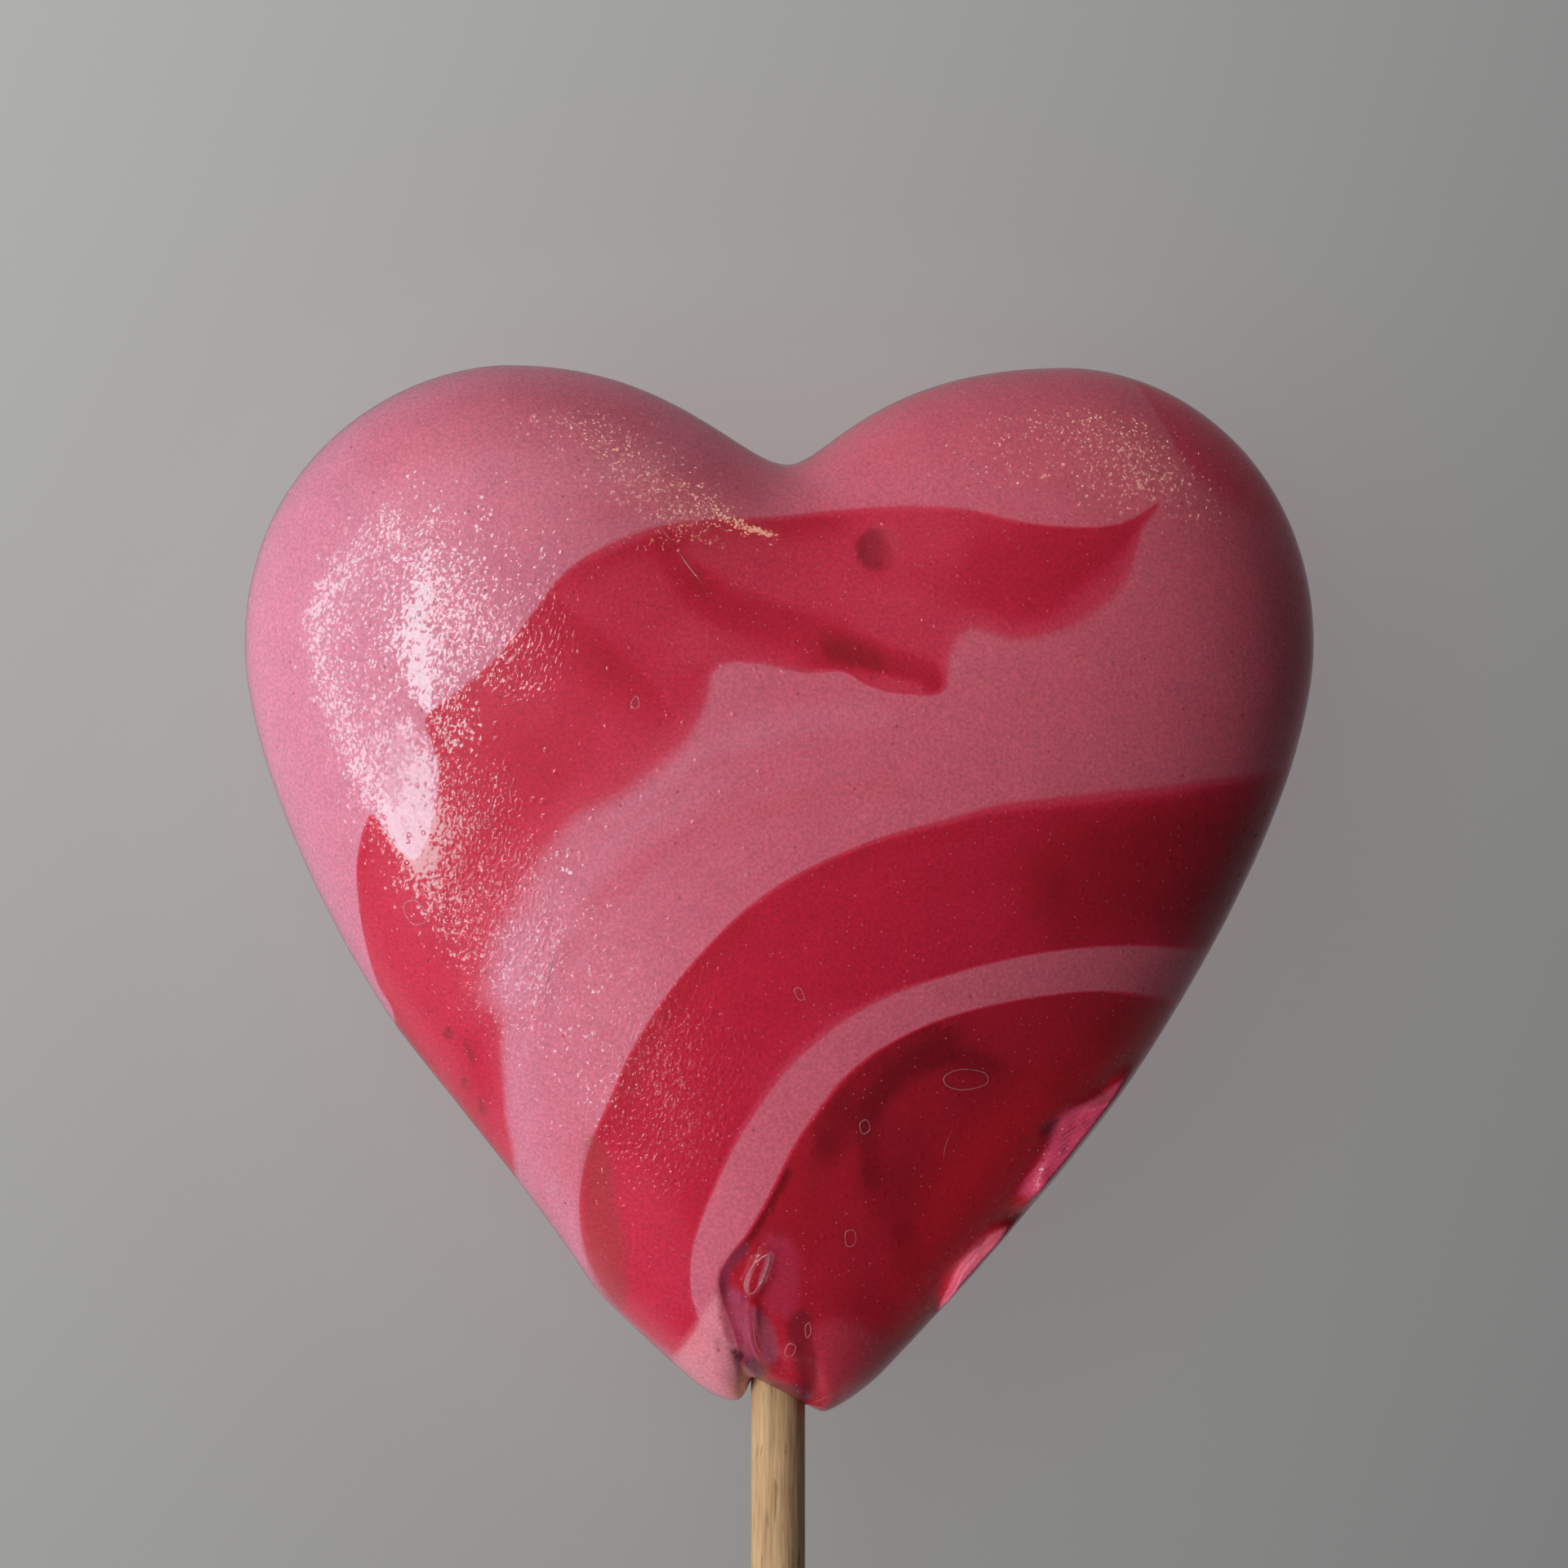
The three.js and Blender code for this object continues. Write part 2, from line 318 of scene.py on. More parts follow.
def edge_measure(points, places):
    """Signed distance to an outline, positive inside, divided by the outline's softness nearby."""
    loop = smooth_loop(places)
    starts, ends = loop[:, :2], np.roll(loop, -1, axis=0)[:, :2]
    steps = ends - starts
    squared = (steps ** 2).sum(axis=1)
    slope = steps[:, 0] / np.where(steps[:, 1] == 0, 1e-9, steps[:, 1])
    measure = np.full(len(points), -FAR)
    near = np.flatnonzero(near_box(points, loop, 2 * loop[:, 2].max()))
    for first in range(0, len(near), BATCH):
        chosen = near[first:first + BATCH]
        part = points[chosen][:, None, :]
        reach = part - starts
        along = np.clip((reach * steps).sum(axis=2) / squared, 0, 1)
        gap = np.linalg.norm(reach - along[:, :, None] * steps, axis=2) + 1e-4
        weight = gap ** -4
        soft = (weight * loop[:, 2]).sum(axis=1) / weight.sum(axis=1)
        level = (starts[:, 1] > part[:, :, 1]) != (ends[:, 1] > part[:, :, 1])
        crossed = level & (reach[:, :, 0] < slope * reach[:, :, 1])
        inside = crossed.sum(axis=1) % 2 == 1
        measure[chosen] = np.where(inside, 1, -1) * gap.min(axis=1) / soft
    return np.clip(measure, -FAR, FAR)


# %% [markdown]
# ## Strokes of a soft brush
#
# Folds, streaks, dents and thin places all follow short paths across the face. One helper serves them
# all: a stroke is a smooth path with a width, and with a fade on either side, so that it can end softly
# on one side and crisply on the other, as folded sugar does.

# %% Distance to a path, and a brush
def smooth_path(path, detail=8):
    """A smooth open line through the places."""
    knots = np.array([path[0], *path, path[-1]], dtype=float)
    t = np.linspace(0, 1, detail, endpoint=False)[:, None]
    line = [between(*four, t) for four in zip(knots, knots[1:], knots[2:], knots[3:])]
    return np.vstack([*line, knots[-1:]])


def path_distance(points, path):
    """Distance of each point to a path, and whether it lies to the left of the path's direction."""
    line = smooth_path(path)
    nearest = np.full(len(points), np.inf)
    left = np.zeros(len(points), dtype=bool)
    for start, end in zip(line, line[1:]):
        step = end - start
        reach = points - start
        along = np.clip(reach @ step / max(step @ step, 1e-9), 0, 1)
        gap = np.linalg.norm(reach - along[:, None] * step, axis=1)
        closer = gap < nearest
        nearest[closer] = gap[closer]
        left[closer] = (step[0] * reach[:, 1] - step[1] * reach[:, 0])[closer] > 0
    return nearest, left


def smooth_step(value):
    """0 to 1 with soft ends."""
    value = np.clip(value, 0, 1)
    return value * value * (3 - 2 * value)


def brush(points, path, width, fade_left, fade_right):
    """1 within half the width of a path, and 0 beyond the fade on each side."""
    near = near_box(points, smooth_path(path), 0.5 * width + max(fade_left, fade_right))
    nearest, left = path_distance(points[near], path)
    out = (nearest - 0.5 * width) / np.where(left, fade_left, fade_right)
    cover = np.zeros(len(points))
    cover[near] = 1 - smooth_step(out)
    return cover


def strokes(points, table):
    """The sum of a table of strokes: path, width, a fade or a left and a right one, and amount."""
    return sum(amount * brush(points, path, width, fades[0], fades[-1])
               for path, width, *fades, amount in table)


# %% [markdown]
# ## Dents and folds in the surface
#
# A poured heart is never as true as its mould. The face is a little wavy, which bends its highlights, and
# folds gather round the stick, where the sugar was pinched while it was warm. Two chips are broken out
# of the right rim. These are real moves of the mesh's points, as with the sculpting brushes.

# %% Where the folds and chips are
# Each fold is its path in millimetres, its width, its fade (or a left and a right one), and how far it
# stands proud.
FOLDS = [
    ([(-3.7, -34.8), (-3.4, -37), (-2.8, -39.2), (-2.2, -41.2)], 0.3, 0.8, -0.3),  # beside the nub
    ([(-2.5, -40.3), (-3.3, -39.9), (-4.1, -39.3)], 0.2, 0.5, -0.22),  # small crack
    ([(-0.8, -32.6), (-1.2, -34), (-1.8, -35.2)], 0.4, 0.7, 0.25),  # pinched loop
    ([(-1.7, -33), (-2.3, -34.6)], 0.2, 0.5, 0.15),
    ([(-1.9, -36.5), (-1.6, -39), (-0.9, -40.6)], 0.3, 0.6, 0.25),
    ([(-0.9, -37), (-0.1, -38.6), (0.1, -40.2)], 0.2, 0.6, -0.22),
    ([(0.6, -39.9), (1.3, -39.2)], 0.4, 0.5, 0.15),
    ([(-1.6, -41.2), (-0.2, -42), (1.6, -42.8)], 0.5, 0.8, 0.2),  # lip
    ([(2.2, -41), (3, -43.2)], 0.4, 0.9, -0.2),
    ([(-15.4, -9.4), (-16.4, -12), (-17.1, -15), (-17.3, -18)], 0.3, 0.7, 0.08),  # long crease
    ([(7.2, 18.6), (7.3, 18.2)], 1.6, 1, -0.14),  # open bubble
]
# Each chip is the height of its flat in millimetres, how steeply it starts from the rim, and its outline.
CHIPS = [
    (5.1, 0.55, [(26.6, -20.2, 4), (24, -21.3, 1.4), (22.3, -21.9, 0.9), (20.5, -22.5, 0.8),
                 (19.6, -23.3, 0.8), (19.7, -24.5, 0.8), (19.2, -25.8, 1), (18.3, -27.3, 2.2),
                 (18.4, -29, 4), (24, -31, 4), (33, -23, 4)]),
    (4.7, 0.4, [(17.4, -30.8, 2), (15, -32.2, 0.6), (14, -33, 0.5), (13.3, -33.9, 0.5), (12.8, -35.2, 0.5),
                (12.2, -37.6, 1), (16, -41, 2), (22, -33, 2)]),
]
print("folds", len(FOLDS), "chips", len(CHIPS))

# %% Push the skin in and out
SKIN_DEPTH = 0.04       # millimetres that the skin lies inside the measured heart
solid = read_points(heart.data)
normals = read_points(heart.data, "normal")
flat = solid[:, :2] / MM
front = solid[:, 2] > SEAM
waves = sum(height * np.sin(flat @ np.array(way) + start) for way, start, height in (
    ((1.3, 0.5), 0.3, 0.003), ((-0.4, 1.1), 1.2, 0.004), ((0.7, -0.9), 2.1, 0.004),
    ((2.1, 1.4), 0.7, 0.0015), ((-1.6, 2.0), 1.9, 0.0015)))
proud = waves - SKIN_DEPTH
proud += np.where(front, strokes(flat, FOLDS), 0)
resting = solid[:, 2] < heart_low[2] + TINY
solid += normals * (np.where(resting, 0, proud) * MM)[:, None]
solid = np.clip(solid, heart_low, heart_high)
print("surface moved by", proud.min().round(2), "to", proud.max().round(2), "mm")

# %% Break out the chips
FACE_RUN = 16.4         # millimetres inside the rim where the face is fully risen
CHIP_SLOPE = 0.1        # how a chip's flat rises inwards
inside_rim = FACE_RUN * ((solid[:, 2] - SEAM) / FACE_RISE) ** 2
for ledge, ramp, outline in CHIPS:
    broken = smooth_step(0.5 + edge_measure(flat, outline)) * front
    shelf = SEAM + (ledge * np.sqrt(np.clip(inside_rim / ramp, 0, 1)) + CHIP_SLOPE * inside_rim) * MM
    solid[:, 2] += broken * (shelf - solid[:, 2])
    print("chip over", int((broken > 0.5).sum()), "points")
write_points(heart.data, solid)

# %% [markdown]
# ## Round to the back
#
# Seen from above, the back would be an exact copy of the front. The real back is hidden and marbled by
# the same few folds, so the pattern keeps running over the rim and is then pushed sideways more and
# more, by slow waves, the further the surface turns away from the front.

# %% Where each point reads the pattern
def pattern_places(mesh):
    """The place in the flat pattern for every point, in millimetres."""
    points = read_points(mesh) / MM
    facing = read_points(mesh, "normal")[:, 2]
    turned = np.where(points[:, 2] < SEAM / MM, np.clip(-facing, 0, 1) ** 1.5, 0)
    x, y = points[:, 0], points[:, 1]
    push_x = 9 * np.sin(0.09 * y + 0.6) + 5 * np.sin(0.13 * x + 2)
    push_y = -8 + 7 * np.sin(0.08 * x + 1.1)
    return np.column_stack([x + turned * push_x, y + turned * push_y])


def store(mesh, name, values):
    """Keep one number or one colour for each point as a named attribute."""
    if values.ndim == 1:
        attribute = mesh.attributes.new(name, "FLOAT", "POINT")
        attribute.data.foreach_set("value", values.astype(np.float32))
    else:
        attribute = mesh.attributes.new(name, "FLOAT_COLOR", "POINT")
        attribute.data.foreach_set("color", values.astype(np.float32).ravel())


# %% [markdown]
# ## Deeper and thinner places
#
# The clear red is not equally thick everywhere: folds show as darker streaks, and towards some edges it
# thins out over the pink below. The first table says where. The patches are spots of another colour,
# such as the purple skin round the stick, and spots of painted light and shade: a painted glow in the
# chips and along the right rim, a painted sheen on the upper left lobe, brighter painted red on the lower
# right flank, a paler painted nub, and painted shade in a crack, in dents and under the lip. The last
# tables say where the skin is dimpled, as the mould left some parts smooth, where it is brushed, and
# where the pink is milkier.

# %% Deeper and thinner red
# Each stroke is its path in millimetres, its width, its fade (or a left and a right one), and how much
# it adds.
DEPTH_STROKES = [
    ([(16, 17.3), (21, 17.6), (24.5, 18.4)], 2, 3, 4, 0.34),  # end of the top band
    ([(-15, 16.6), (-12, 18.2), (-9, 19.3), (-4, 20), (4, 20.7)], 0.6, 0.8, 1.6, 0.16),
    ([(9, 20), (12, 18), (15, 18.5)], 3, 3, -0.08),
    ([(-8.6, 19.4), (-7.2, 17.2), (-5.2, 15.6)], 0.5, 1.2, 1.4, 0.3),  # fold in the top band
    ([(-5.6, 15.8), (-3.2, 14.2), (0, 13), (3, 11.9), (6, 10.6)], 1.4, 1.5, 2.2, 0.42),
    ([(4, 11), (6.5, 10.4), (9, 9.8), (11.2, 8.8)], 0.9, 1.4, 0.7, 0.55),
    ([(5.8, 9.2), (8, 8.6), (10, 8.3)], 0.8, 0.6, -0.42),  # thin wedge under it
    ([(-4, 17.5), (0, 16.6), (4, 16.2)], 2, 3, -0.25),  # thin, rosy part
    ([(-13, 15), (-9, 14), (-6.5, 12)], 3, 3, -0.16),
    ([(-6.5, 11.5), (-2, 11), (1, 10.6)], 1, 2.5, 1.5, -0.2),
    ([(8, 13.5), (11.5, 12)], 2.4, 2.5, -0.3),
    ([(-14.2, 13.2), (-12, 11), (-10.4, 9.4), (-8.8, 7.8)], 0.3, 0.5, 3.6, 0.32),  # fold in the arm
    ([(-21, 3), (-18.5, 0), (-21, -5)], 5, 3, 0.08),
    ([(-14.2, -2.4), (-16.8, -5), (-19.2, -8.4), (-20.7, -13.2)], 1.2, 3, 4.2, -0.72),  # thin edge
    ([(-9.5, 5.5), (-12, 3)], 2, 3, -0.12),
    ([(-28.4, -7), (-27.2, -13), (-25.6, -18.5)], 3, 3, -0.36),  # salmon flank
    ([(-28.6, -14.6), (-27.4, -16.6), (-25.6, -19)], 0.3, 0.8, 0.6, 0.5),
    ([(-3, -8.2), (-7, -12.5), (-10.4, -17.6), (-12.6, -22.5)], 1.4, 1.5, 2.6, 0.2),
    ([(4.5, -3.8), (10, -2), (16, -0.6)], 0.5, 1, 1.5, 0.14),
    ([(24, 2.2), (30, 2.6), (37, 3.2)], 0.6, 2, 1.2, -0.4),
    ([(-1, -20), (3, -15.8)], 1.4, 2, -0.14),
    ([(-11, -29), (-9, -33), (-7.5, -37)], 3, 4, -0.3),
    ([(22, -5), (30, -4.5), (37, -5)], 4, 6, 0.5),
    ([(7.8, -28), (7.6, -23), (9.4, -19.8), (12.6, -18.8), (16, -20.4)], 2.4, 1.4, 6, 0.12),  # inner arch
    ([(6.6, -27), (6.5, -23), (8.3, -19.6), (12, -18.1), (15.6, -18.8)], 0.4, 0.8, 1.2, 0.14),
    ([(2.4, -25), (0.4, -29), (-0.8, -31)], 1.2, 2.4, 0.8, 0.06),
    ([(0.6, -26.4), (-2, -30.9), (-3.5, -32.7)], 0.3, 0.5, 0.4),
    ([(9.2, -31), (9.6, -33.4)], 1.2, 0.7, 0.2),
    ([(4, -40), (6, -42)], 2, 3, -0.3),
    ([(11, -16.6), (8, -18.3), (5.6, -20.5), (3.4, -23.4)], 1.4, 2.5, 0.6, 0.3),
    # darker along the upper chip's edge: thicker red at the broken edge, and painted shade above the step
    # down
    ([(25.4, -17), (21.4, -21)], 1, 1.5, 3, 0.3),
]
print("strokes in the red", len(DEPTH_STROKES))

# %% Patches of another colour, and of painted light and shade
# Each patch is its colour, how strongly it covers, its softness, and its outline.
PATCHES = [
    # bubble in the top band
    ((0.26, 0.014, 0.026), 0.62, 0.35, [(6.9, 20), (5.8, 19.2), (5.6, 18.2), (6.2, 17.3), (7.1, 16.9),
     (7.5, 17.4), (7.5, 19), (7.3, 19.9)]),
    # painted sheen: paler pink over the upper left lobe, for the window's broad sheen there
    ((0.95, 0.28, 0.38), 0.4, 6, [(-27, 25.5), (-20, 27), (-10, 24), (-12, 20.6), (-20, 18.6),
     (-27, 19)]),
    # painted light: brighter red over the lower right flank, where the light falls off towards the rim
    ((0.85, 0.014, 0.032), 0.6, 5, [(12, -26), (20, -18.5), (30, -14), (34, -18), (14, -40), (8, -38)]),
    # the darker right part of the bubble
    ((0.42, 0.012, 0.036), 0.5, 0.4, [(7.4, 19.9), (7.5, 18.2), (7.3, 16.9), (8.4, 17.3), (9, 18.5),
     (8.4, 19.6)]),
    # dull brown strip
    ((0.4, 0.06, 0.06), 0.55, 1.2, [(-13.8, -24), (-12.2, -25.4), (-11.6, -29), (-11, -33), (-11.6, -37),
     (-13.6, -34), (-14.2, -29)]),
    # pale pink in the chips, brightened as a painted glow for light that shines through the sugar there
    ((0.74, 0.075, 0.165), 1, 0.3, [(26.9, -18.8), (24.8, -20.3), (22.5, -21.6), (20.6, -22.4),
     (19.6, -23.3), (19.7, -24.5), (19.1, -25.8), (18, -27.3), (18, -28.6), (24, -30), (32, -22)]),
    ((0.92, 0.165, 0.255), 0.95, 0.3, [(17, -31), (14.6, -31.9), (13.7, -32.7), (12.9, -33.7),
     (12.4, -35.2), (11.8, -37.4), (14, -41), (22, -33)]),
    # painted glow: a pale strip along the rim from the lower chip to the right nub, for light shining
    # through the edge
    ((0.85, 0.19, 0.23), 0.75, 1.2, [(13.2, -36.2), (11, -38.4), (8.2, -40.4), (6.4, -41.8),
     (4.6, -42.8), (5, -46), (10, -44), (14, -38)]),
    # a paler patch on the right nub
    ((0.55, 0.062, 0.095), 0.5, 1.6, [(3, -37.8), (7, -38.2), (8, -40.5), (4.6, -44), (2.6, -43.6)]),
    # painted glow: a paler red strip along the right rim, for light shining through the edge
    ((0.7, 0.11, 0.17), 0.7, 0.3, [(36.4, -0.6), (34, -5.8), (31.6, -10.8), (33, -11.4), (37, -6),
     (39.5, -1)]),
    # purple skin by the stick
    ((0.26, 0.03, 0.07), 0.8, 0.35, [(-2.6, -31.6), (-3.6, -32.7), (-4.3, -34), (-3.9, -36.2),
     (-3.4, -36.2), (-3.5, -34.2), (-3, -33.2), (-2, -32)]),
    ((0.42, 0.06, 0.125), 0.85, 0.5, [(-3.6, -35), (-2.4, -35.4), (-1.9, -37), (-1.6, -39.6),
     (-1, -40.8), (-2.4, -41), (-2.9, -39), (-3.6, -37)]),
    ((0.54, 0.095, 0.165), 0.85, 0.4, [(-1.9, -36.4), (-0.9, -37.1), (-0.2, -38.4), (0, -40.2),
     (-0.9, -40.7), (-1.4, -39)]),
    ((0.2, 0.012, 0.02), 0.7, 0.6, [(1, -36.8), (2.2, -36.6), (2.4, -38.4), (2.9, -41), (2.2, -43.6),
     (1, -43.4), (1.4, -41), (0.6, -38.6)]),
    ((0.14, 0.015, 0.035), 0.85, 0.3, [(-2.4, -40.4), (-1.5, -40.3), (-0.9, -41.5), (-1.9, -42.2)]),
    # dark purple of the lip, deepened by a painted shadow where it folds over
    ((0.16, 0.014, 0.04), 0.8, 0.4, [(-1.6, -41.8), (0.4, -42.2), (1.8, -42.3), (2.2, -43.4), (1, -44),
     (-2, -43)]),
    # painted shade in the small crack beside the left nub
    ((0.14, 0.015, 0.035), 0.8, 0.25, [(-2.5, -40), (-3.4, -39.5), (-4.2, -39.2), (-3.6, -39.9),
     (-2.7, -40.5)]),
    # crimson beside the pinched loop
    ((0.52, 0.034, 0.085), 0.7, 1, [(-1, -31), (1, -31.4), (1.6, -34), (1, -37), (-0.9, -36.2),
     (-0.6, -33.4)]),
    # painted light: the left nub is painted paler, lifting it out of the shade of the fold beside it
    ((0.9, 0.3, 0.37), 0.9, 0.6, [(-4.4, -35.4), (-4.1, -37.4), (-3.3, -40), (-1.7, -42), (-1.6, -44),
     (-5, -45), (-8, -42), (-6, -38)]),
    # paler streaks on the pinched loop
    ((0.66, 0.2, 0.28), 0.85, 0.25, [(-0.6, -32.4), (-0.4, -32.7), (-1, -34.3), (-1.5, -35),
     (-1.2, -33.8)]),
    ((0.66, 0.2, 0.28), 0.7, 0.25, [(-1.6, -32.8), (-2.1, -33.8), (-2.4, -34.8), (-2, -35.5),
     (-2.1, -34.6)]),
]
# Short dark dashes in the upper chip, each from its left to its right and from its top to its foot.
CHIP_DASHES = [(21.3, 21.5, -22.8, -24), (22.3, 22.5, -22.5, -23.6), (23.2, 23.4, -22.2, -23.4),
               (20.7, 20.9, -23.9, -25.3), (19.5, 19.8, -26.4, -27.6)]
PATCHES += [((0.22, 0.01, 0.04), 0.7, 0.25, [(left, top), (right, top), (right, foot), (left, foot)])
            for left, right, top, foot in CHIP_DASHES]
# Dark spots in small dents of the left flank: painted shade, as the mesh has no dents there.
FLANK_DENT_SHADES = [
    [(-23.9, -16.1), (-24.2, -16.8), (-23.8, -17), (-23.6, -16.4)],
    [(-22.7, -16.9), (-22.3, -17.6), (-21.9, -18.6), (-22.2, -18.7), (-22.6, -17.8)],
    [(-22.9, -19.4), (-22.6, -20.6), (-22.9, -20.8), (-23, -20)],
    [(-21.7, -21.3), (-21.3, -22.4), (-21.6, -22.6), (-21.8, -22)],
]
PATCHES += [((0.3, 0.035, 0.045), 0.8, 0.25, outline) for outline in FLANK_DENT_SHADES]
print("patches", len(PATCHES))

# %% Dimples, brushed places and milk
DIMPLED = [
    ([(-29, 17), (-28, 4), (-20, -8), (-12, -22)], 12, 5, 0.1),
    ([(-33.8, 15), (-34, 9), (-31, 4), (-29, 0)], 1.8, 1.2, -0.03),
    ([(-25.8, 4.6), (-26.3, 1.6), (-26, -1), (-25.4, -3)], 3.4, 0.8, -0.115),
    ([(-26.4, 19), (-26, 8)], 2.6, 1.2, 1.4, -0.1),
    ([(-30, 16), (-30, 9)], 3, 2, 0.05),
    ([(-23, 22), (-15, 22), (-8, 24.5)], 6, 4, 5, 0.16),
    ([(-18.5, 28.5), (-12, 26.6), (-9.5, 25)], 2, 2.5, 0.14),
    ([(-17, 17.5), (-19.5, 11)], 2, 2.5, 0.13),
    ([(-20, 5), (-17.5, 0)], 4, 2, -0.09),
    ([(-17, -9), (-18, -20)], 5, 4, 0.08),
    ([(-7, -14), (-10, -22)], 5, 4, 0.02),
    ([(-9, 23.7), (-4, 21.6), (1, 19.7)], 0.8, 1.4, -0.04),
    ([(15, 26.2), (20, 26.2), (26, 25), (30, 22.8)], 4, 4, 0.3),
    ([(26, -20), (20, -24.5), (18, -28)], 3, 1.5, 0.3),
    ([(16, -32), (12, -36)], 3, 1.5, 0.3),
]
# Places brushed with short dashes.
DASHED = [
    ([(-21, 0), (-20, -3), (-19, -9)], 3, 3, 0.3),
    ([(-20, -6), (-18.4, -12), (-19.6, -15)], 3, 3, 4, 0.7),
    ([(-7, -12), (-10, -18), (-11.6, -23)], 3, 3, 4, 0.3),
    ([(-4.5, -18), (-7, -23), (-8.5, -26)], 4, 3, 0.35),
    ([(-13.5, -25.8), (-9.5, -29.2), (-5.5, -31.5)], 0.5, 0.6, 6, -1.2),
    ([(-18, 11), (-16.5, 14.5)], 2, 4, 0.4),
]
# Milkier (or clearer) streaks in the pink.
MILK_STROKES = [
    ([(-15.6, -8.6), (-14.2, -5.4), (-11.4, -2.4), (-8, -0.4), (-5, 2)], 0.3, 0.7, 1.2, 0.06),
    ([(-12.4, -1), (-9.4, 0.6), (-6.4, 3), (-4.6, 4.4)], 0.2, 0.9, 0.6, 0.1),
    ([(-3, 4.6), (2, 6), (8, 6.4)], 0.8, 1.6, 1.2, 0.12),
    ([(-13, -7), (-8, -3), (0, 0), (8, 1.6)], 0.3, 0.8, 1.4, -0.12),
    ([(-18.8, -9), (-19.2, -13)], 1.2, 1.6, 0.16),
    ([(-19.4, -18), (-18, -27)], 1.6, 2, 2.5, 0.1),
    ([(-16, -28), (-14.4, -33), (-10.4, -38)], 0.6, 1, 0.14),
    ([(-4, -41), (-5, -42.4)], 2.4, 1.6, 0.25),
    ([(-13, 21.5), (-8, 22.6), (-3, 22.6)], 1, 2, -0.14),
    ([(-28, 26), (-20, 28.4), (-12, 27.4)], 2, 3, -0.12),
    ([(4, 23), (12, 22.8), (20, 21.4)], 0.8, 2, 1, 0.1),
]
# The line that the streaks in the pink run along.
FLOW = [(46, 4), (33, 1.7), (20, 0.1), (12, -1.3), (4.5, -3.6), (-3, -8.2), (-8.8, -15), (-12, -21.2),
        (-14.1, -27.2), (-14, -34), (-12, -42)]
print("dimpled", len(DIMPLED), "brushed", len(DASHED), "milky", len(MILK_STROKES))

# %% Store it all on the mesh
def marble(mesh):
    """Store all that the sugar's material reads on a mesh."""
    places = pattern_places(mesh)
    for name, outline in BANDS.items():
        store(mesh, name, edge_measure(places, outline))
    store(mesh, "depth", strokes(places, DEPTH_STROKES))
    store(mesh, "milk", strokes(places, MILK_STROKES))
    store(mesh, "dimples", np.clip(0.05 + strokes(places, DIMPLED), 0.02, 1))
    store(mesh, "dashes", np.clip(strokes(places, DASHED), 0, 1))
    nearest, left = path_distance(places, FLOW)
    store(mesh, "flow", np.where(left, nearest, -nearest))
    tint = np.zeros((len(places), 4))
    for colour, strength, softness, outline in PATCHES:
        measure = edge_measure(places, [(x, y, softness) for x, y in outline])
        cover = (strength * smooth_step(0.5 + measure))[:, None]
        tint = tint * (1 - cover) + cover * np.array([*colour, 1])
    store(mesh, "tint", tint)
    return places


places = marble(heart.data)
print("marbled", len(places), "points")

# %% [markdown]
# ## Nodes for the materials
#
# The materials are built from shader nodes, as in the Shader Editor. A few helpers make a node, set its
# inputs and return its output, so that each line below reads like one step: a sum, a blend of two
# colours, a pattern of noise or dots, or a bump.

# %% Helpers for node materials
def new_material(name):
    """A node material: itself, its node tree, its Principled shader and the piece's own coordinates."""
    material = bpy.data.materials.new(name)
    material.use_nodes = True
    tree = material.node_tree
    return material, tree, tree.nodes["Principled BSDF"], node(tree, "TexCoord", {}, "Object")


def fill(tree, made, inputs):
    """Set inputs of a node to numbers or colours, or link them to other sockets."""
    for name, source in inputs.items():
        socket = made.inputs[name]
        if isinstance(source, (int, float)):
            socket.default_value = source
        elif isinstance(source, tuple):
            socket.default_value = (*source, 1)[:len(socket.default_value)]
        else:
            tree.links.new(source, socket)


def node(tree, kind, inputs, output=0, **settings):
    """A new node with its settings and inputs, and one of its outputs, or all for None."""
    made = tree.nodes.new("ShaderNode" + kind)
    for name, value in settings.items():
        setattr(made, name, value)
    fill(tree, made, inputs)
    return made.outputs if output is None else made.outputs[output]


def attribute(tree, name, output="Fac"):
    """One of the piece's own attributes."""
    return node(tree, "Attribute", {}, output, attribute_name=name)


def maths(tree, operation, first, second=0.0, third=0.0, clamp=False):
    """The result of one sum."""
    return node(tree, "Math", {0: first, 1: second, 2: third}, operation=operation, use_clamp=clamp)


def vector(tree, operation, first, second=(0, 0, 0), scale=1.0):
    """The result of one sum with vectors."""
    return node(tree, "VectorMath", {0: first, 1: second, 3: scale}, operation=operation)


def coordinate(tree, place, axis):
    """One axis of a place."""
    return node(tree, "SeparateXYZ", {0: place}, axis)


# %% Helpers for colours and ranges
def blend(tree, amount, first, second, way="MIX"):
    """Two colours mixed by an amount."""
    return node(tree, "Mix", {0: amount, 6: first, 7: second}, 2, data_type="RGBA", blend_type=way)


def remap(tree, value, low, high, to_low=0.0, to_high=1.0, smooth=True):
    """Map Range from low..high to to_low..to_high."""
    return node(tree, "MapRange", {"Value": value, "From Min": low, "From Max": high, "To Min": to_low,
                                   "To Max": to_high}, "Result",
                interpolation_type="SMOOTHSTEP" if smooth else "LINEAR")


def colour_ramp(tree, value, stops):
    """A colour ramp from a list of (position, colour)."""
    ramp = tree.nodes.new("ShaderNodeValToRGB")
    marks = ramp.color_ramp.elements
    while len(marks) < len(stops):
        marks.new(0.5)
    for mark, (position, tint) in zip(marks, stops):
        mark.position = position
        mark.color = (*tint, 1)
    fill(tree, ramp, {"Fac": value})
    return ramp.outputs["Color"]


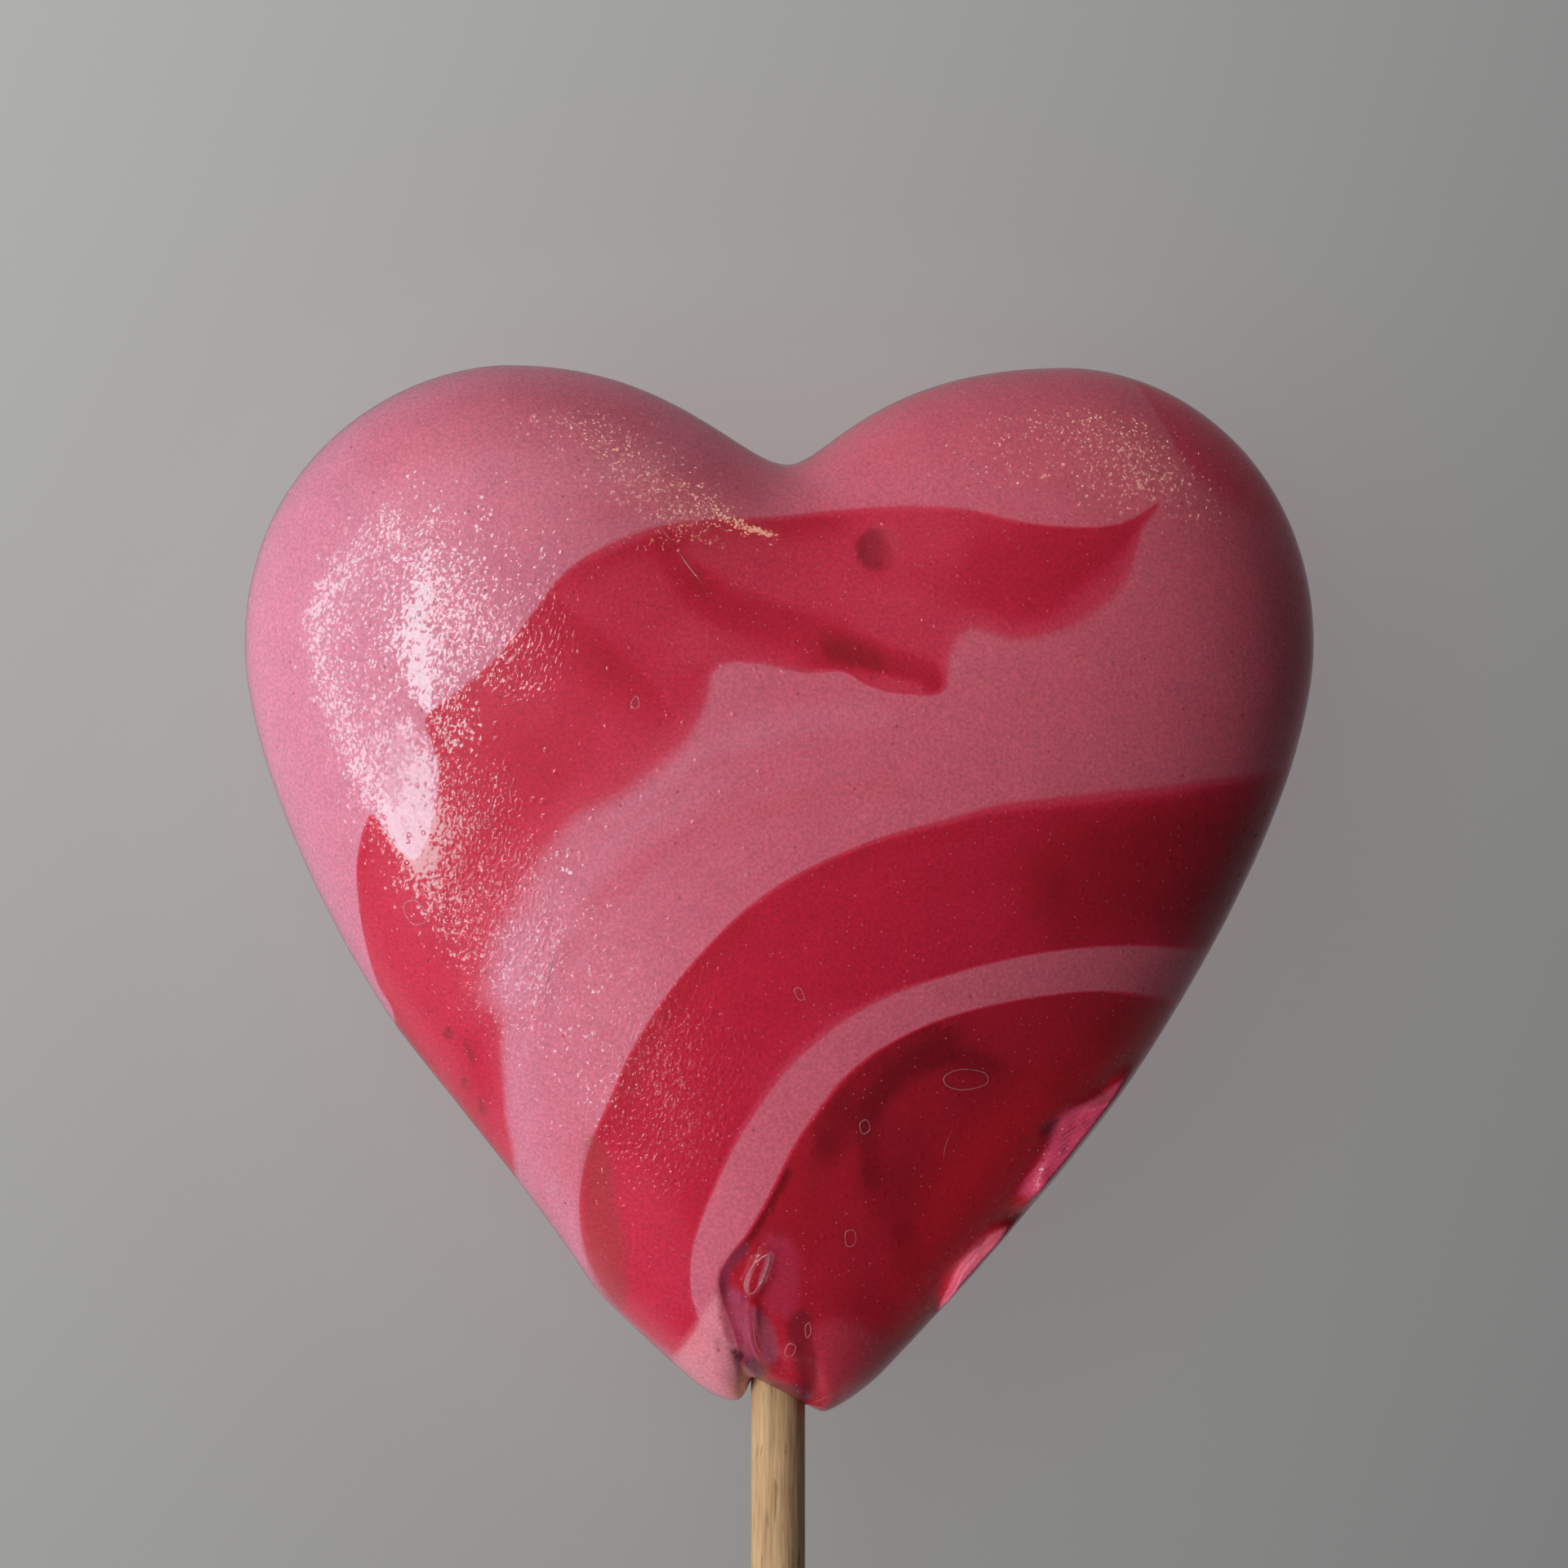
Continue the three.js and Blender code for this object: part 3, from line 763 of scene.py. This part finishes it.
# %% Helpers for patterns
def moved(tree, place, stretch=(1, 1, 1), turn=0.0, shift=0.0):
    """A place for a pattern: shifted, then turned about Z and stretched along its turned axes."""
    return node(tree, "Mapping", {"Vector": place, "Location": (shift, 0, 0), "Scale": stretch,
                                  "Rotation": (0, 0, math.radians(turn))}, vector_type="TEXTURE")


def noise(tree, place, size, detail=0.0, **moves):
    """A noise pattern with waves of a size."""
    return node(tree, "TexNoise", {"Vector": moved(tree, place, **moves), "Scale": 1 / size,
                                   "Detail": detail}, "Fac")


def cells(tree, place, size, **moves):
    """A Voronoi pattern with cells of a size: the distance to each middle, and a random colour."""
    pattern = node(tree, "TexVoronoi", {"Vector": moved(tree, place, **moves), "Scale": 1 / size}, None)
    return pattern["Distance"], pattern["Color"]


def dots(tree, place, spacing, radius, share, **moves):
    """Round dots, 1 inside and 0 outside. The radius is a part of the spacing, and only a share shows."""
    distance, lots = cells(tree, place, spacing, **moves)
    round_dot = remap(tree, distance, 0.7 * radius, 1.4 * radius, 1, 0)
    shown = maths(tree, "LESS_THAN", coordinate(tree, lots, "X"), share)
    return maths(tree, "MULTIPLY", round_dot, shown)


def facets(tree, place, size, strength, **moves):
    """A random tilt for each small cell of the surface. Most are slight, and a few are strong."""
    _, lots = cells(tree, place, size, **moves)
    tilt = vector(tree, "SUBTRACT", lots, (0.5, 0.5, 0.5))
    tilt = vector(tree, "MULTIPLY", tilt, (strength, strength, 0))
    lot = maths(tree, "POWER", coordinate(tree, lots, "Z"), 4.0)
    return vector(tree, "SCALE", tilt, scale=maths(tree, "MULTIPLY_ADD", lot, 1.7, 0.35))


def bump(tree, height, distance, strength=1.0, under=None):
    """A bump of a height in metres, on top of another bump if one is given."""
    inputs = {"Distance": distance, "Strength": strength, "Height": height}
    if under is not None:
        inputs["Normal"] = under
    return node(tree, "Bump", inputs, "Normal")


# %% [markdown]
# ## The sugar
#
# One material holds both sugars. The four edges are joined into one amount of red, the strokes make it
# deeper or thinner, and a colour ramp turns the amount into colour: rose where the clear sugar is a
# thin film, then crimson and a deep dark red where it is thick. The pink is paler and bluer on the left:
# partly milkier sugar, partly a painted sheen from the window on that side. The gloss comes from a clear
# coat with a few dull spots, over a duller skin. Pits and brushed places are a bump. In the dimpled parts
# each tiny facet tilts the coat its own way, so that a highlight breaks into sparkles.

# %% Colours of the sugar
# The pinks go by millimetres from left to right, paler and bluer on the left, which is partly a painted
# sheen from the window on that side. The reds go by how thick the red lies.
PINK_SPAN = 80
PINKS_WITH_SHEEN = [(-38, (0.77, 0.275, 0.400)), (-18, (0.76, 0.210, 0.305)), (0, (0.735, 0.150, 0.220)),
         (38, (0.71, 0.120, 0.175))]
REDS = [(0.0, (0.72, 0.070, 0.125)), (0.36, (0.67, 0.033, 0.080)), (0.5, (0.61, 0.0160, 0.053)),
        (0.75, (0.46, 0.011, 0.028)), (1.0, (0.24, 0.006, 0.014))]
sugar, tree, shader, place = new_material("marbled sugar")
flow = attribute(tree, "flow")
print("pinks", len(PINKS_WITH_SHEEN), "reds", len(REDS))

# %% How much red lies over the pink
red = 0.0
THICKNESS = {"corner_red": 0.26, "upper_red": 0.85, "middle_red": 1.05, "core_red": 1.45}
for name, thickness in THICKNESS.items():
    covered = remap(tree, attribute(tree, name), -0.5, 0.5, 0, thickness)
    red = maths(tree, "MAXIMUM", red, covered)
deeper = maths(tree, "ADD", attribute(tree, "depth"), 1.0)
red = maths(tree, "MULTIPLY", red, deeper)
cloud = noise(tree, place, 0.006, detail=3)
red = maths(tree, "MULTIPLY", red, remap(tree, cloud, 0.3, 0.7, 0.93, 1.07, smooth=False))
shade = maths(tree, "DIVIDE", red, 2.0, clamp=True)
print("bands", list(THICKNESS))

# %% Streaks and grain
ALONG_FLOW = 60.0       # the scale of the streaks along their run, against 1000 across it
east, north = coordinate(tree, place, "X"), coordinate(tree, place, "Y")
along = node(tree, "CombineXYZ", {0: flow, 1: maths(tree, "MULTIPLY", east, ALONG_FLOW),
                                  2: maths(tree, "MULTIPLY", north, ALONG_FLOW)})
streaks = noise(tree, along, 0.9, detail=2)
near_flow = remap(tree, maths(tree, "ABSOLUTE", flow), 7, 13, 0.1, 0.01)
streak = maths(tree, "MULTIPLY", maths(tree, "SUBTRACT", 0.5, streaks), near_flow)
grain = noise(tree, place, 0.00024, detail=2)
mottle = noise(tree, place, 0.003, detail=3, shift=0.4)
print("patterns so far", sum(one.type == "TEX_NOISE" for one in tree.nodes))

# %% Blend the colours
across = maths(tree, "MULTIPLY_ADD", east, 1 / (PINK_SPAN * MM), 0.5)
across = maths(tree, "MULTIPLY_ADD", streak, 2.0, across)
across = maths(tree, "SUBTRACT", across, attribute(tree, "milk"))
pink = colour_ramp(tree, across, [(0.5 + x / PINK_SPAN, tint) for x, tint in PINKS_WITH_SHEEN])
reds = colour_ramp(tree, shade, REDS)
colour = blend(tree, remap(tree, shade, 0.0, 0.16), pink, reds)
painted = attribute(tree, "tint", "Alpha")
colour = blend(tree, painted, colour, (0.0, 0.0, 0.0))
colour = blend(tree, 1.0, colour, attribute(tree, "tint", "Color"), way="ADD")
print("nodes so far", len(tree.nodes))

# %% Grain, specks and painted glints
tone = maths(tree, "ADD", remap(tree, grain, 0.3, 0.7, 0.35, 0.65, smooth=False),
             remap(tree, mottle, 0.3, 0.7, 0.47, 0.53, smooth=False))
colour = node(tree, "HueSaturation", {"Value": tone, "Color": colour})
# Pale specks: partly tiny air bubbles, partly painted glints, most of them where the skin is dimpled and
# the highlights lie.
bubble_specks_and_glints = dots(tree, place, 0.0006, 0.1, 0.6)
dirt = dots(tree, place, 0.0014, 0.08, 0.4, shift=0.4)
dimples, dashes = attribute(tree, "dimples"), attribute(tree, "dashes")
bubble_specks_and_glints = maths(tree, "MULTIPLY", bubble_specks_and_glints, maths(tree, "MULTIPLY_ADD", dimples, 2.0, 0.15, clamp=True))
colour = blend(tree, bubble_specks_and_glints, colour, (0.95, 0.55, 0.62))
colour = blend(tree, maths(tree, "MULTIPLY", dirt, 0.5), colour, (0.20, 0.02, 0.04))
fill(tree, shader, {"Base Color": colour})
print("nodes so far", len(tree.nodes))

# %% Gloss, depth of light and skin
dull = dots(tree, place, 0.0011, 0.16, 0.6, stretch=(1.7, 1, 1), turn=20, shift=0.3)
fill(tree, shader, {
    "Roughness": 0.4, "Specular IOR Level": 0.2, "Coat Roughness": 0.05,
    "Coat Weight": maths(tree, "MULTIPLY_ADD", dull, -0.8, 0.9),
    "Subsurface Weight": 0.35, "Subsurface Radius": (1.0, 0.3, 0.35), "Subsurface Scale": 0.0012})
swell = noise(tree, place, 0.0007, detail=1, shift=0.2)
skin = bump(tree, swell, 0.000012, 0.6)
pits = dots(tree, place, 0.0009, 0.2, 0.4, shift=0.2)
skin = bump(tree, pits, 0.00003, 0.7, under=skin)
brushed = noise(tree, place, 0.00026, stretch=(1.8, 1, 1), turn=70)
brushed = remap(tree, brushed, 0.50, 0.68)
skin = bump(tree, brushed, 0.00003, dashes, under=skin)
frost = vector(tree, "ADD", facets(tree, place, 0.00023, 1.15),
               facets(tree, place, 0.00013, 1.0, stretch=(2.4, 1, 1), turn=75, shift=0.1))
frost = vector(tree, "SCALE", frost, scale=dimples)
frosted = vector(tree, "NORMALIZE", vector(tree, "ADD", skin, frost))
fill(tree, shader, {"Normal": skin, "Coat Normal": frosted})
heart.data.materials.append(sugar)
print("sugar has", len(tree.nodes), "nodes")

# %% [markdown]
# ## Hair lines and burst bubbles
#
# Where the sugar folded over itself, thin creases of paler sugar stand on the surface and catch the light
# as hair lines. Burst bubbles leave small raised rings. Each is modelled as a fine thread: a curve
# drawn on the face, given a round section that tapers to nothing, and turned into a mesh half sunk in
# the sugar. The paler paint on the threads is partly a painted highlight along them.

# %% A thread of sugar on the face
SINK = 0.35             # how deep a thread's middle lies, as a part of its thickness
# paler sugar, and a painted highlight along each hair line and ring
THREAD_PALENESS_AND_HIGHLIGHT = (0.34, 0.15, 0.17, 0.45)      # how much paler it is


def on_face(x, y, sink):
    """The place on the heart's face above (x, y), in metres, sunk by a little."""
    _, place, normal, _ = heart.ray_cast(Vector((x * MM, y * MM, 1)), Vector((0, 0, -1)))
    return place - normal * sink


def thread(path, thickness, closed=False):
    """A tapering thread along a path in millimetres. Its thickness is in millimetres too."""
    line = smooth_loop([(x, y, 1) for x, y in path], 6)[:, :2] if closed else smooth_path(path, 6)
    bpy.ops.curve.primitive_bezier_curve_add()
    curve = bpy.context.object
    curve.data.splines.clear()
    spline = curve.data.splines.new("POLY")
    spline.points.add(len(line) - 1)
    for index, (x, y) in enumerate(line):
        spline.points[index].co = (*on_face(x, y, SINK * thickness * MM), 1)
        taper = math.sin(math.pi * (index + 0.6) / (len(line) + 0.2))
        spline.points[index].radius = 1 if closed else max(taper, 0.05) ** 0.6
    spline.use_cyclic_u = closed
    curve.data.bevel_depth = 0.5 * thickness * MM
    curve.data.bevel_resolution = 1
    curve.data.use_fill_caps = not closed
    bpy.ops.object.convert(target="MESH")
    return bpy.context.object


# %% Join threads into one piece
def join(pieces, name):
    """Join threads into one piece of marbled sugar that rides with the heart."""
    bpy.ops.object.select_all(action="DESELECT")
    for piece in pieces:
        piece.select_set(True)
    bpy.context.view_layer.objects.active = pieces[0]
    bpy.ops.object.join()
    bpy.ops.object.transform_apply()
    bpy.ops.object.mode_set(mode="EDIT")
    bpy.ops.mesh.select_all(action="SELECT")
    bpy.ops.mesh.normals_make_consistent(inside=False)
    bpy.ops.object.mode_set(mode="OBJECT")
    bpy.ops.object.shade_smooth()
    piece = bpy.context.object
    piece.name = name
    piece.data.materials.append(sugar)
    marble(piece.data)
    paint = np.full((len(piece.data.vertices), 4), THREAD_PALENESS_AND_HIGHLIGHT)
    piece.data.attributes["tint"].data.foreach_set("color", paint.astype(np.float32).ravel())
    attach(piece, "root")
    print(name, "has", len(piece.data.polygons), "faces")
    return piece


# %% Creases
# Each crease is its path in millimetres and its thickness.
CREASES = [
    ([(-15.4, -9.4), (-15.9, -10.4), (-16.4, -12), (-16.8, -13.6), (-17.1, -15)], 0.2),
    ([(-17.1, -15.2), (-17.2, -17), (-17.3, -19), (-17.8, -22), (-17.7, -25)], 0.12),
    ([(-11.4, -2.5), (-10, -1.7), (-8.4, -0.7), (-6.8, 0.2), (-5.4, 1.2), (-4, 2.2)], 0.1),
    ([(-7.4, 18.6), (-6.8, 17.7), (-5.9, 16.5), (-4.8, 15.2)], 0.16),
    ([(-8.6, 20.2), (-8, 19.4), (-7.5, 18.8)], 0.12),
    ([(12.5, 11.4), (12.6, 10.4), (12.9, 9.4), (13.6, 8)], 0.13),
    ([(12.8, -22.8), (12.3, -24), (12, -25), (11.9, -26)], 0.13),
    ([(-1.9, -36.4), (-1.75, -38), (-1.5, -39.4), (-0.8, -40.5)], 0.16),
    ([(2.2, -44), (3.2, -43.4), (4.7, -42.6)], 0.12),
    ([(-21.9, 9.6), (-21.6, 9), (-21.4, 8.4)], 0.14),
    ([(-20.4, 9.9), (-20.2, 9.2), (-20.3, 8.6)], 0.14),
    ([(-21.7, 7), (-21.4, 6.3), (-21.3, 5.8)], 0.14),
]
creases = join([thread(path, thickness) for path, thickness in CREASES], "sugar_creases")

# %% Burst bubbles
BUBBLES = [
    ([(-27, -7.2), (-26.2, -6.9), (-25.4, -7.7), (-25.3, -8.3), (-26.2, -8.7), (-26.9, -8)], 0.14),
    ([(-32, 1.8), (-31.4, 2.1), (-31, 1.6), (-31.6, 1.2)], 0.14),
    ([(-21.2, -1.2), (-20.8, -1), (-20.6, -1.5), (-21, -1.7)], 0.12),
    ([(12, -19.5), (13.2, -19), (14.9, -19.3), (15, -20.1), (13.4, -20.5), (12.2, -20.2)], 0.12),
    ([(5.9, -22.9), (6.4, -22.6), (6.6, -23.3), (6.1, -23.6)], 0.12),
    ([(-0.6, -32.4), (-0.7, -33.3), (-1.2, -34.5), (-1.9, -35.3), (-2.4, -34.8), (-2.1, -33.8),
        (-1.5, -32.9)], 0.2),
    ([(0.5, -39.9), (0.8, -39.1), (1.3, -39.3), (1, -40)], 0.14),
    ([(2, -37.8), (2.3, -37.5), (2.4, -38.2), (2.1, -38.6)], 0.14),
    ([(-10.5, 7.2), (-10.1, 7.8), (-9.9, 7.2), (-10.2, 6.9)], 0.12),
    ([(4.9, -30.8), (5.5, -30.7), (5.6, -31.6), (5, -31.8)], 0.1),
    ([(1.2, -13.2), (1.6, -13.1), (1.9, -13.8), (1.5, -13.9)], 0.12),
]
bubbles = join([thread(path, thickness, closed=True) for path, thickness in BUBBLES], "burst_bubbles")

# %% [markdown]
# ## The wooden stick
#
# The stick is a turned birch dowel, 4 mm thick. It starts as a cylinder, gets a small bevel at its free
# end and cuts along its length, and its skin is pushed in a little along the grain, as dowels are never
# quite smooth. The grain is noise stretched along the length, with a few short dark pores.

# %% Turn the dowel
STICK_RADIUS = 0.5 * (stick_high[0] - stick_low[0])
STICK_END = stick_low[1]
STICK_HIDDEN = -36 * MM         # the dowel's upper end, inside the candy
bpy.ops.mesh.primitive_cylinder_add(
    vertices=64, radius=STICK_RADIUS, depth=STICK_HIDDEN - STICK_END, rotation=(math.pi / 2, 0, 0),
    location=(0.5 * (stick_low[0] + stick_high[0]), 0.5 * (STICK_HIDDEN + STICK_END), SEAM))
dowel = bpy.context.object
dowel.name = "birch_dowel"
bpy.ops.object.transform_apply()
bevel = dowel.modifiers.new("end bevel", "BEVEL")
bevel.width = 0.3 * MM
bevel.segments = 3
bevel.limit_method = "ANGLE"
bpy.ops.object.modifier_apply(modifier=bevel.name)
print("dowel from", round(STICK_END, 4), "to", round(STICK_HIDDEN, 4))

# %% Push its skin in along the grain
CUT = 1.5 * MM          # from one cut across the dowel to the next
FIBRE_DEPTH = 0.006     # how far a fibre is pushed in, as a part of the radius
bpy.ops.object.mode_set(mode="EDIT")
for cut in np.arange(STICK_END + CUT, STICK_HIDDEN - MM, CUT):
    bpy.ops.mesh.select_all(action="SELECT")
    bpy.ops.mesh.bisect(plane_co=(0, cut, SEAM), plane_no=(0, 1, 0))
bpy.ops.object.mode_set(mode="OBJECT")
skin = read_points(dowel.data)
around = np.arctan2(skin[:, 2] - SEAM, skin[:, 0])
fibre = np.sin(9 * around + 25 * skin[:, 1]) + np.sin(17 * around - 60 * skin[:, 1] + 1)
shrink = 1 - FIBRE_DEPTH * (1 + 0.5 * fibre)
skin[:, 0] *= shrink
skin[:, 2] = SEAM + (skin[:, 2] - SEAM) * shrink
write_points(dowel.data, skin)
bpy.ops.object.shade_smooth_by_angle(angle=math.radians(40))
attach(dowel, "root")
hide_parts("stick")
print("dowel has", len(dowel.data.polygons), "faces")

# %% Wood
wood, tree, shader, place = new_material("birch")
broad_grain = noise(tree, place, 0.0012, detail=3, stretch=(1, 14, 1))
fine_grain = noise(tree, place, 0.00022, detail=2, stretch=(1, 16, 1), shift=0.2)
tone = maths(tree, "MULTIPLY_ADD", fine_grain, 0.45, maths(tree, "MULTIPLY", broad_grain, 0.55))
colour = colour_ramp(tree, tone, [
    (0.34, (0.40, 0.225, 0.100)), (0.45, (0.53, 0.325, 0.158)),
    (0.56, (0.635, 0.405, 0.215)), (0.68, (0.71, 0.49, 0.29))])
pores = remap(tree, noise(tree, place, 0.00030, stretch=(1, 9, 1), shift=0.6), 0.68, 0.76, 0, 0.6)
colour = blend(tree, pores, colour, (0.20, 0.115, 0.05))
rough = bump(tree, fine_grain, 0.00006, 0.7)
fill(tree, shader, {"Base Color": colour, "Roughness": 0.62, "Specular IOR Level": 0.3,
                    "Normal": bump(tree, pores, 0.00004, -0.8, under=rough)})
dowel.data.materials.append(wood)
print("wood has", len(tree.nodes), "nodes")

# %% [markdown]
# ## The floor
#
# The lollipop lies on a plane like pale paper on a light table. Most of its brightness is its own glow,
# which keeps the shadow beside the heart faint, and one soft lamp adds the rest. The glow falls off
# from left to right and from top to bottom, as the light in a room does.

# %% Floor
bpy.ops.mesh.primitive_plane_add(size=4, location=(0, 0, heart_low[2]))
floor = bpy.context.object
floor.name = "floor"
paper, tree, shader, place = new_material("pale paper")
aside = remap(tree, coordinate(tree, place, "X"), -0.1, 0.1, 0.345, 0.132, smooth=False)
upwards = remap(tree, coordinate(tree, place, "Y"), -0.1, 0.1, 0.78, 1.23, smooth=False)
fill(tree, shader, {"Base Color": (0.50, 0.50, 0.49), "Roughness": 0.9, "Emission Color": (1, 1, 0.98),
                    "Emission Strength": maths(tree, "MULTIPLY", aside, upwards)})
floor.data.materials.append(paper)
print("floor at", round(heart_low[2], 4))

# %% [markdown]
# ## The lamps
#
# A glossy sweet is lit twice. Some lamps are seen only in reflections: a tall window of several panes
# on the left, whose bent reflection draws a ring, a column and a bright end on the face, and two warm
# lamps behind the lobes, which give golden glints. The other lamps only light the colours, mostly from
# the left.

# %% A lamp
def soft_box(name, place, size, radiance, tint=(1, 1, 1), aim=None, roll=0, gloss=True):
    """A lamp at a place in metres from the middle of the heart. It faces the heart, or the way it is aimed.

    The size of a lamp on the left wall is along Y and then along Z, before its roll. Its brightness is
    given as radiance, so that its reflection keeps its look when its size changes. A lamp for gloss is
    seen only in reflections, and the others only light the colours.
    """
    lamp = bpy.data.lights.new(name, "AREA")
    lamp.shape = "RECTANGLE"
    lamp.size, lamp.size_y = size
    lamp.energy = radiance * math.pi * size[0] * size[1]
    lamp.color = tint
    holder = bpy.data.objects.new(name, lamp)
    bpy.context.scene.collection.objects.link(holder)
    holder.location = Vector(place) + Vector((0, 0, SEAM))
    facing = Vector(place) if aim is None else Vector(aim)
    turn = facing.to_track_quat("Z", "Y") @ Quaternion((0, 0, 1), math.radians(-roll))
    holder.rotation_euler = turn.to_euler()
    holder.visible_camera = False
    holder.visible_glossy = gloss
    holder.visible_diffuse = not gloss
    return holder


# %% Lamps
WALL_X = -0.5
INTO_WALL = (-1, 0, 0)
COOL, WARM = (0.6, 1, 1), (1, 0.8, 0.5)
# The panes of the window, each with its place along Y and Z, size, radiance and roll in degrees.
PANES = {
    "low panel": ((-0.178, 0.447), (0.08, 0.34), 9.2, -27.5),
    "half panel": ((-0.122, 0.418), (0.046, 0.2), 3.4, -27.5),
    "low fill": ((-0.176, 0.322), (0.07, 0.14), 10, -27.5),
    "bottom turn": ((-0.12, 0.252), (0.11, 0.05), 9, -25),
    "bottom bar": ((0, 0.222), (0.15, 0.045), 9, 0),
    "far bar": ((0.25, 0.37), (0.56, 0.06), 9, 41),
    "top bar": ((0.23, 0.765), (0.58, 0.17), 12, 20),
    "corner bar": ((0.45, 0.62), (0.08, 0.24), 7, -15),
}
for name, (spot, size, radiance, roll) in PANES.items():
    soft_box(name, (WALL_X, *spot), size, radiance, COOL, aim=INTO_WALL, roll=roll)
soft_box("high panel", (WALL_X, 0.38, 1.14), (0.36, 0.24), 12, aim=INTO_WALL)
soft_box("side panel", (WALL_X, -0.5, 1), (0.16, 0.24), 3.2, aim=INTO_WALL)
soft_box("warm lamp", (0.13, 0.55, 0.15), (0.2, 0.026), 9, WARM)
soft_box("warm glow", (0.32, 0.55, 0.35), (0.28, 0.09), 5.2, WARM, aim=(0, 1, 0), roll=14)
key = soft_box("key light", (-0.5, -0.3, 0.45), (0.3, 0.3), 12.6, gloss=False)
soft = soft_box("soft light", (-0.2, 0.2, 0.25), (0.3, 0.3), 2.45, gloss=False)
above = soft_box("floor light", (-0.24, 0.156, 0.24), (0.5, 0.5), 0.285, aim=(0, 0, 1), gloss=False)
print("lamps", len(bpy.data.lights))

# %% [markdown]
# ## The room
#
# A glossy side mirrors the room, so the world counts too. Directions that point down get a pale glow,
# brighter on the left, as from a wall below the window. The rest is nearly dark and keeps the reds deep.

# %% World
world = bpy.data.worlds.new("room")
bpy.context.scene.world = world
world.use_nodes = True
tree = world.node_tree
room = tree.nodes["Background"]
way = node(tree, "TexCoord", {}, "Generated")
below = remap(tree, coordinate(tree, way, "Z"), -0.4, 0.1, 1, 0)
aside = remap(tree, coordinate(tree, way, "X"), -1, 1, 0.31, 0.045, smooth=False)
fill(tree, room, {"Color": (0.95, 0.97, 1), "Strength": maths(tree, "MULTIPLY_ADD", below, aside, 0.035)})
print("room has", len(tree.nodes), "nodes")

# %% [markdown]
# ## What each lamp shines on
#
# The floor has its own lamp, and the lamps that light the lollipop's colours leave it alone. With light
# linking, each of these three lamps gets a collection of the pieces it shines on. The floor is kept out of
# reflections, so that the sides mirror the room and not the paper.

# %% Say what each lamp shines on
def together(name, pieces):
    """A collection of pieces, for a lamp to shine on."""
    group = bpy.data.collections.new(name)
    for piece in pieces:
        group.objects.link(piece)
    return group


above.light_linking.receiver_collection = together("the floor", [floor])
only_candy = together("the lollipop", [heart, creases, bubbles, dowel])
for lamp in (key, soft):
    lamp.light_linking.receiver_collection = only_candy
floor.visible_glossy = False

# %% [markdown]
# ## The camera
#
# The camera looks straight down from half a metre above the seam. Its angle of view follows from how
# wide the picture is at that height.

# %% Camera
PICTURE = 115.2 * MM       # the width of the picture at the height of the seam
CAMERA_HEIGHT = 0.5
lens = bpy.data.cameras.new("camera")
camera = bpy.data.objects.new("camera", lens)
bpy.context.scene.collection.objects.link(camera)
camera.location = (0.45 * MM, 1.5 * MM, SEAM + CAMERA_HEIGHT)
lens.angle = 2 * math.atan(0.5 * PICTURE / CAMERA_HEIGHT)
bpy.context.scene.camera = camera
bpy.context.scene.view_settings.view_transform = "Standard"
print("angle of view", round(math.degrees(lens.angle), 2), "degrees")
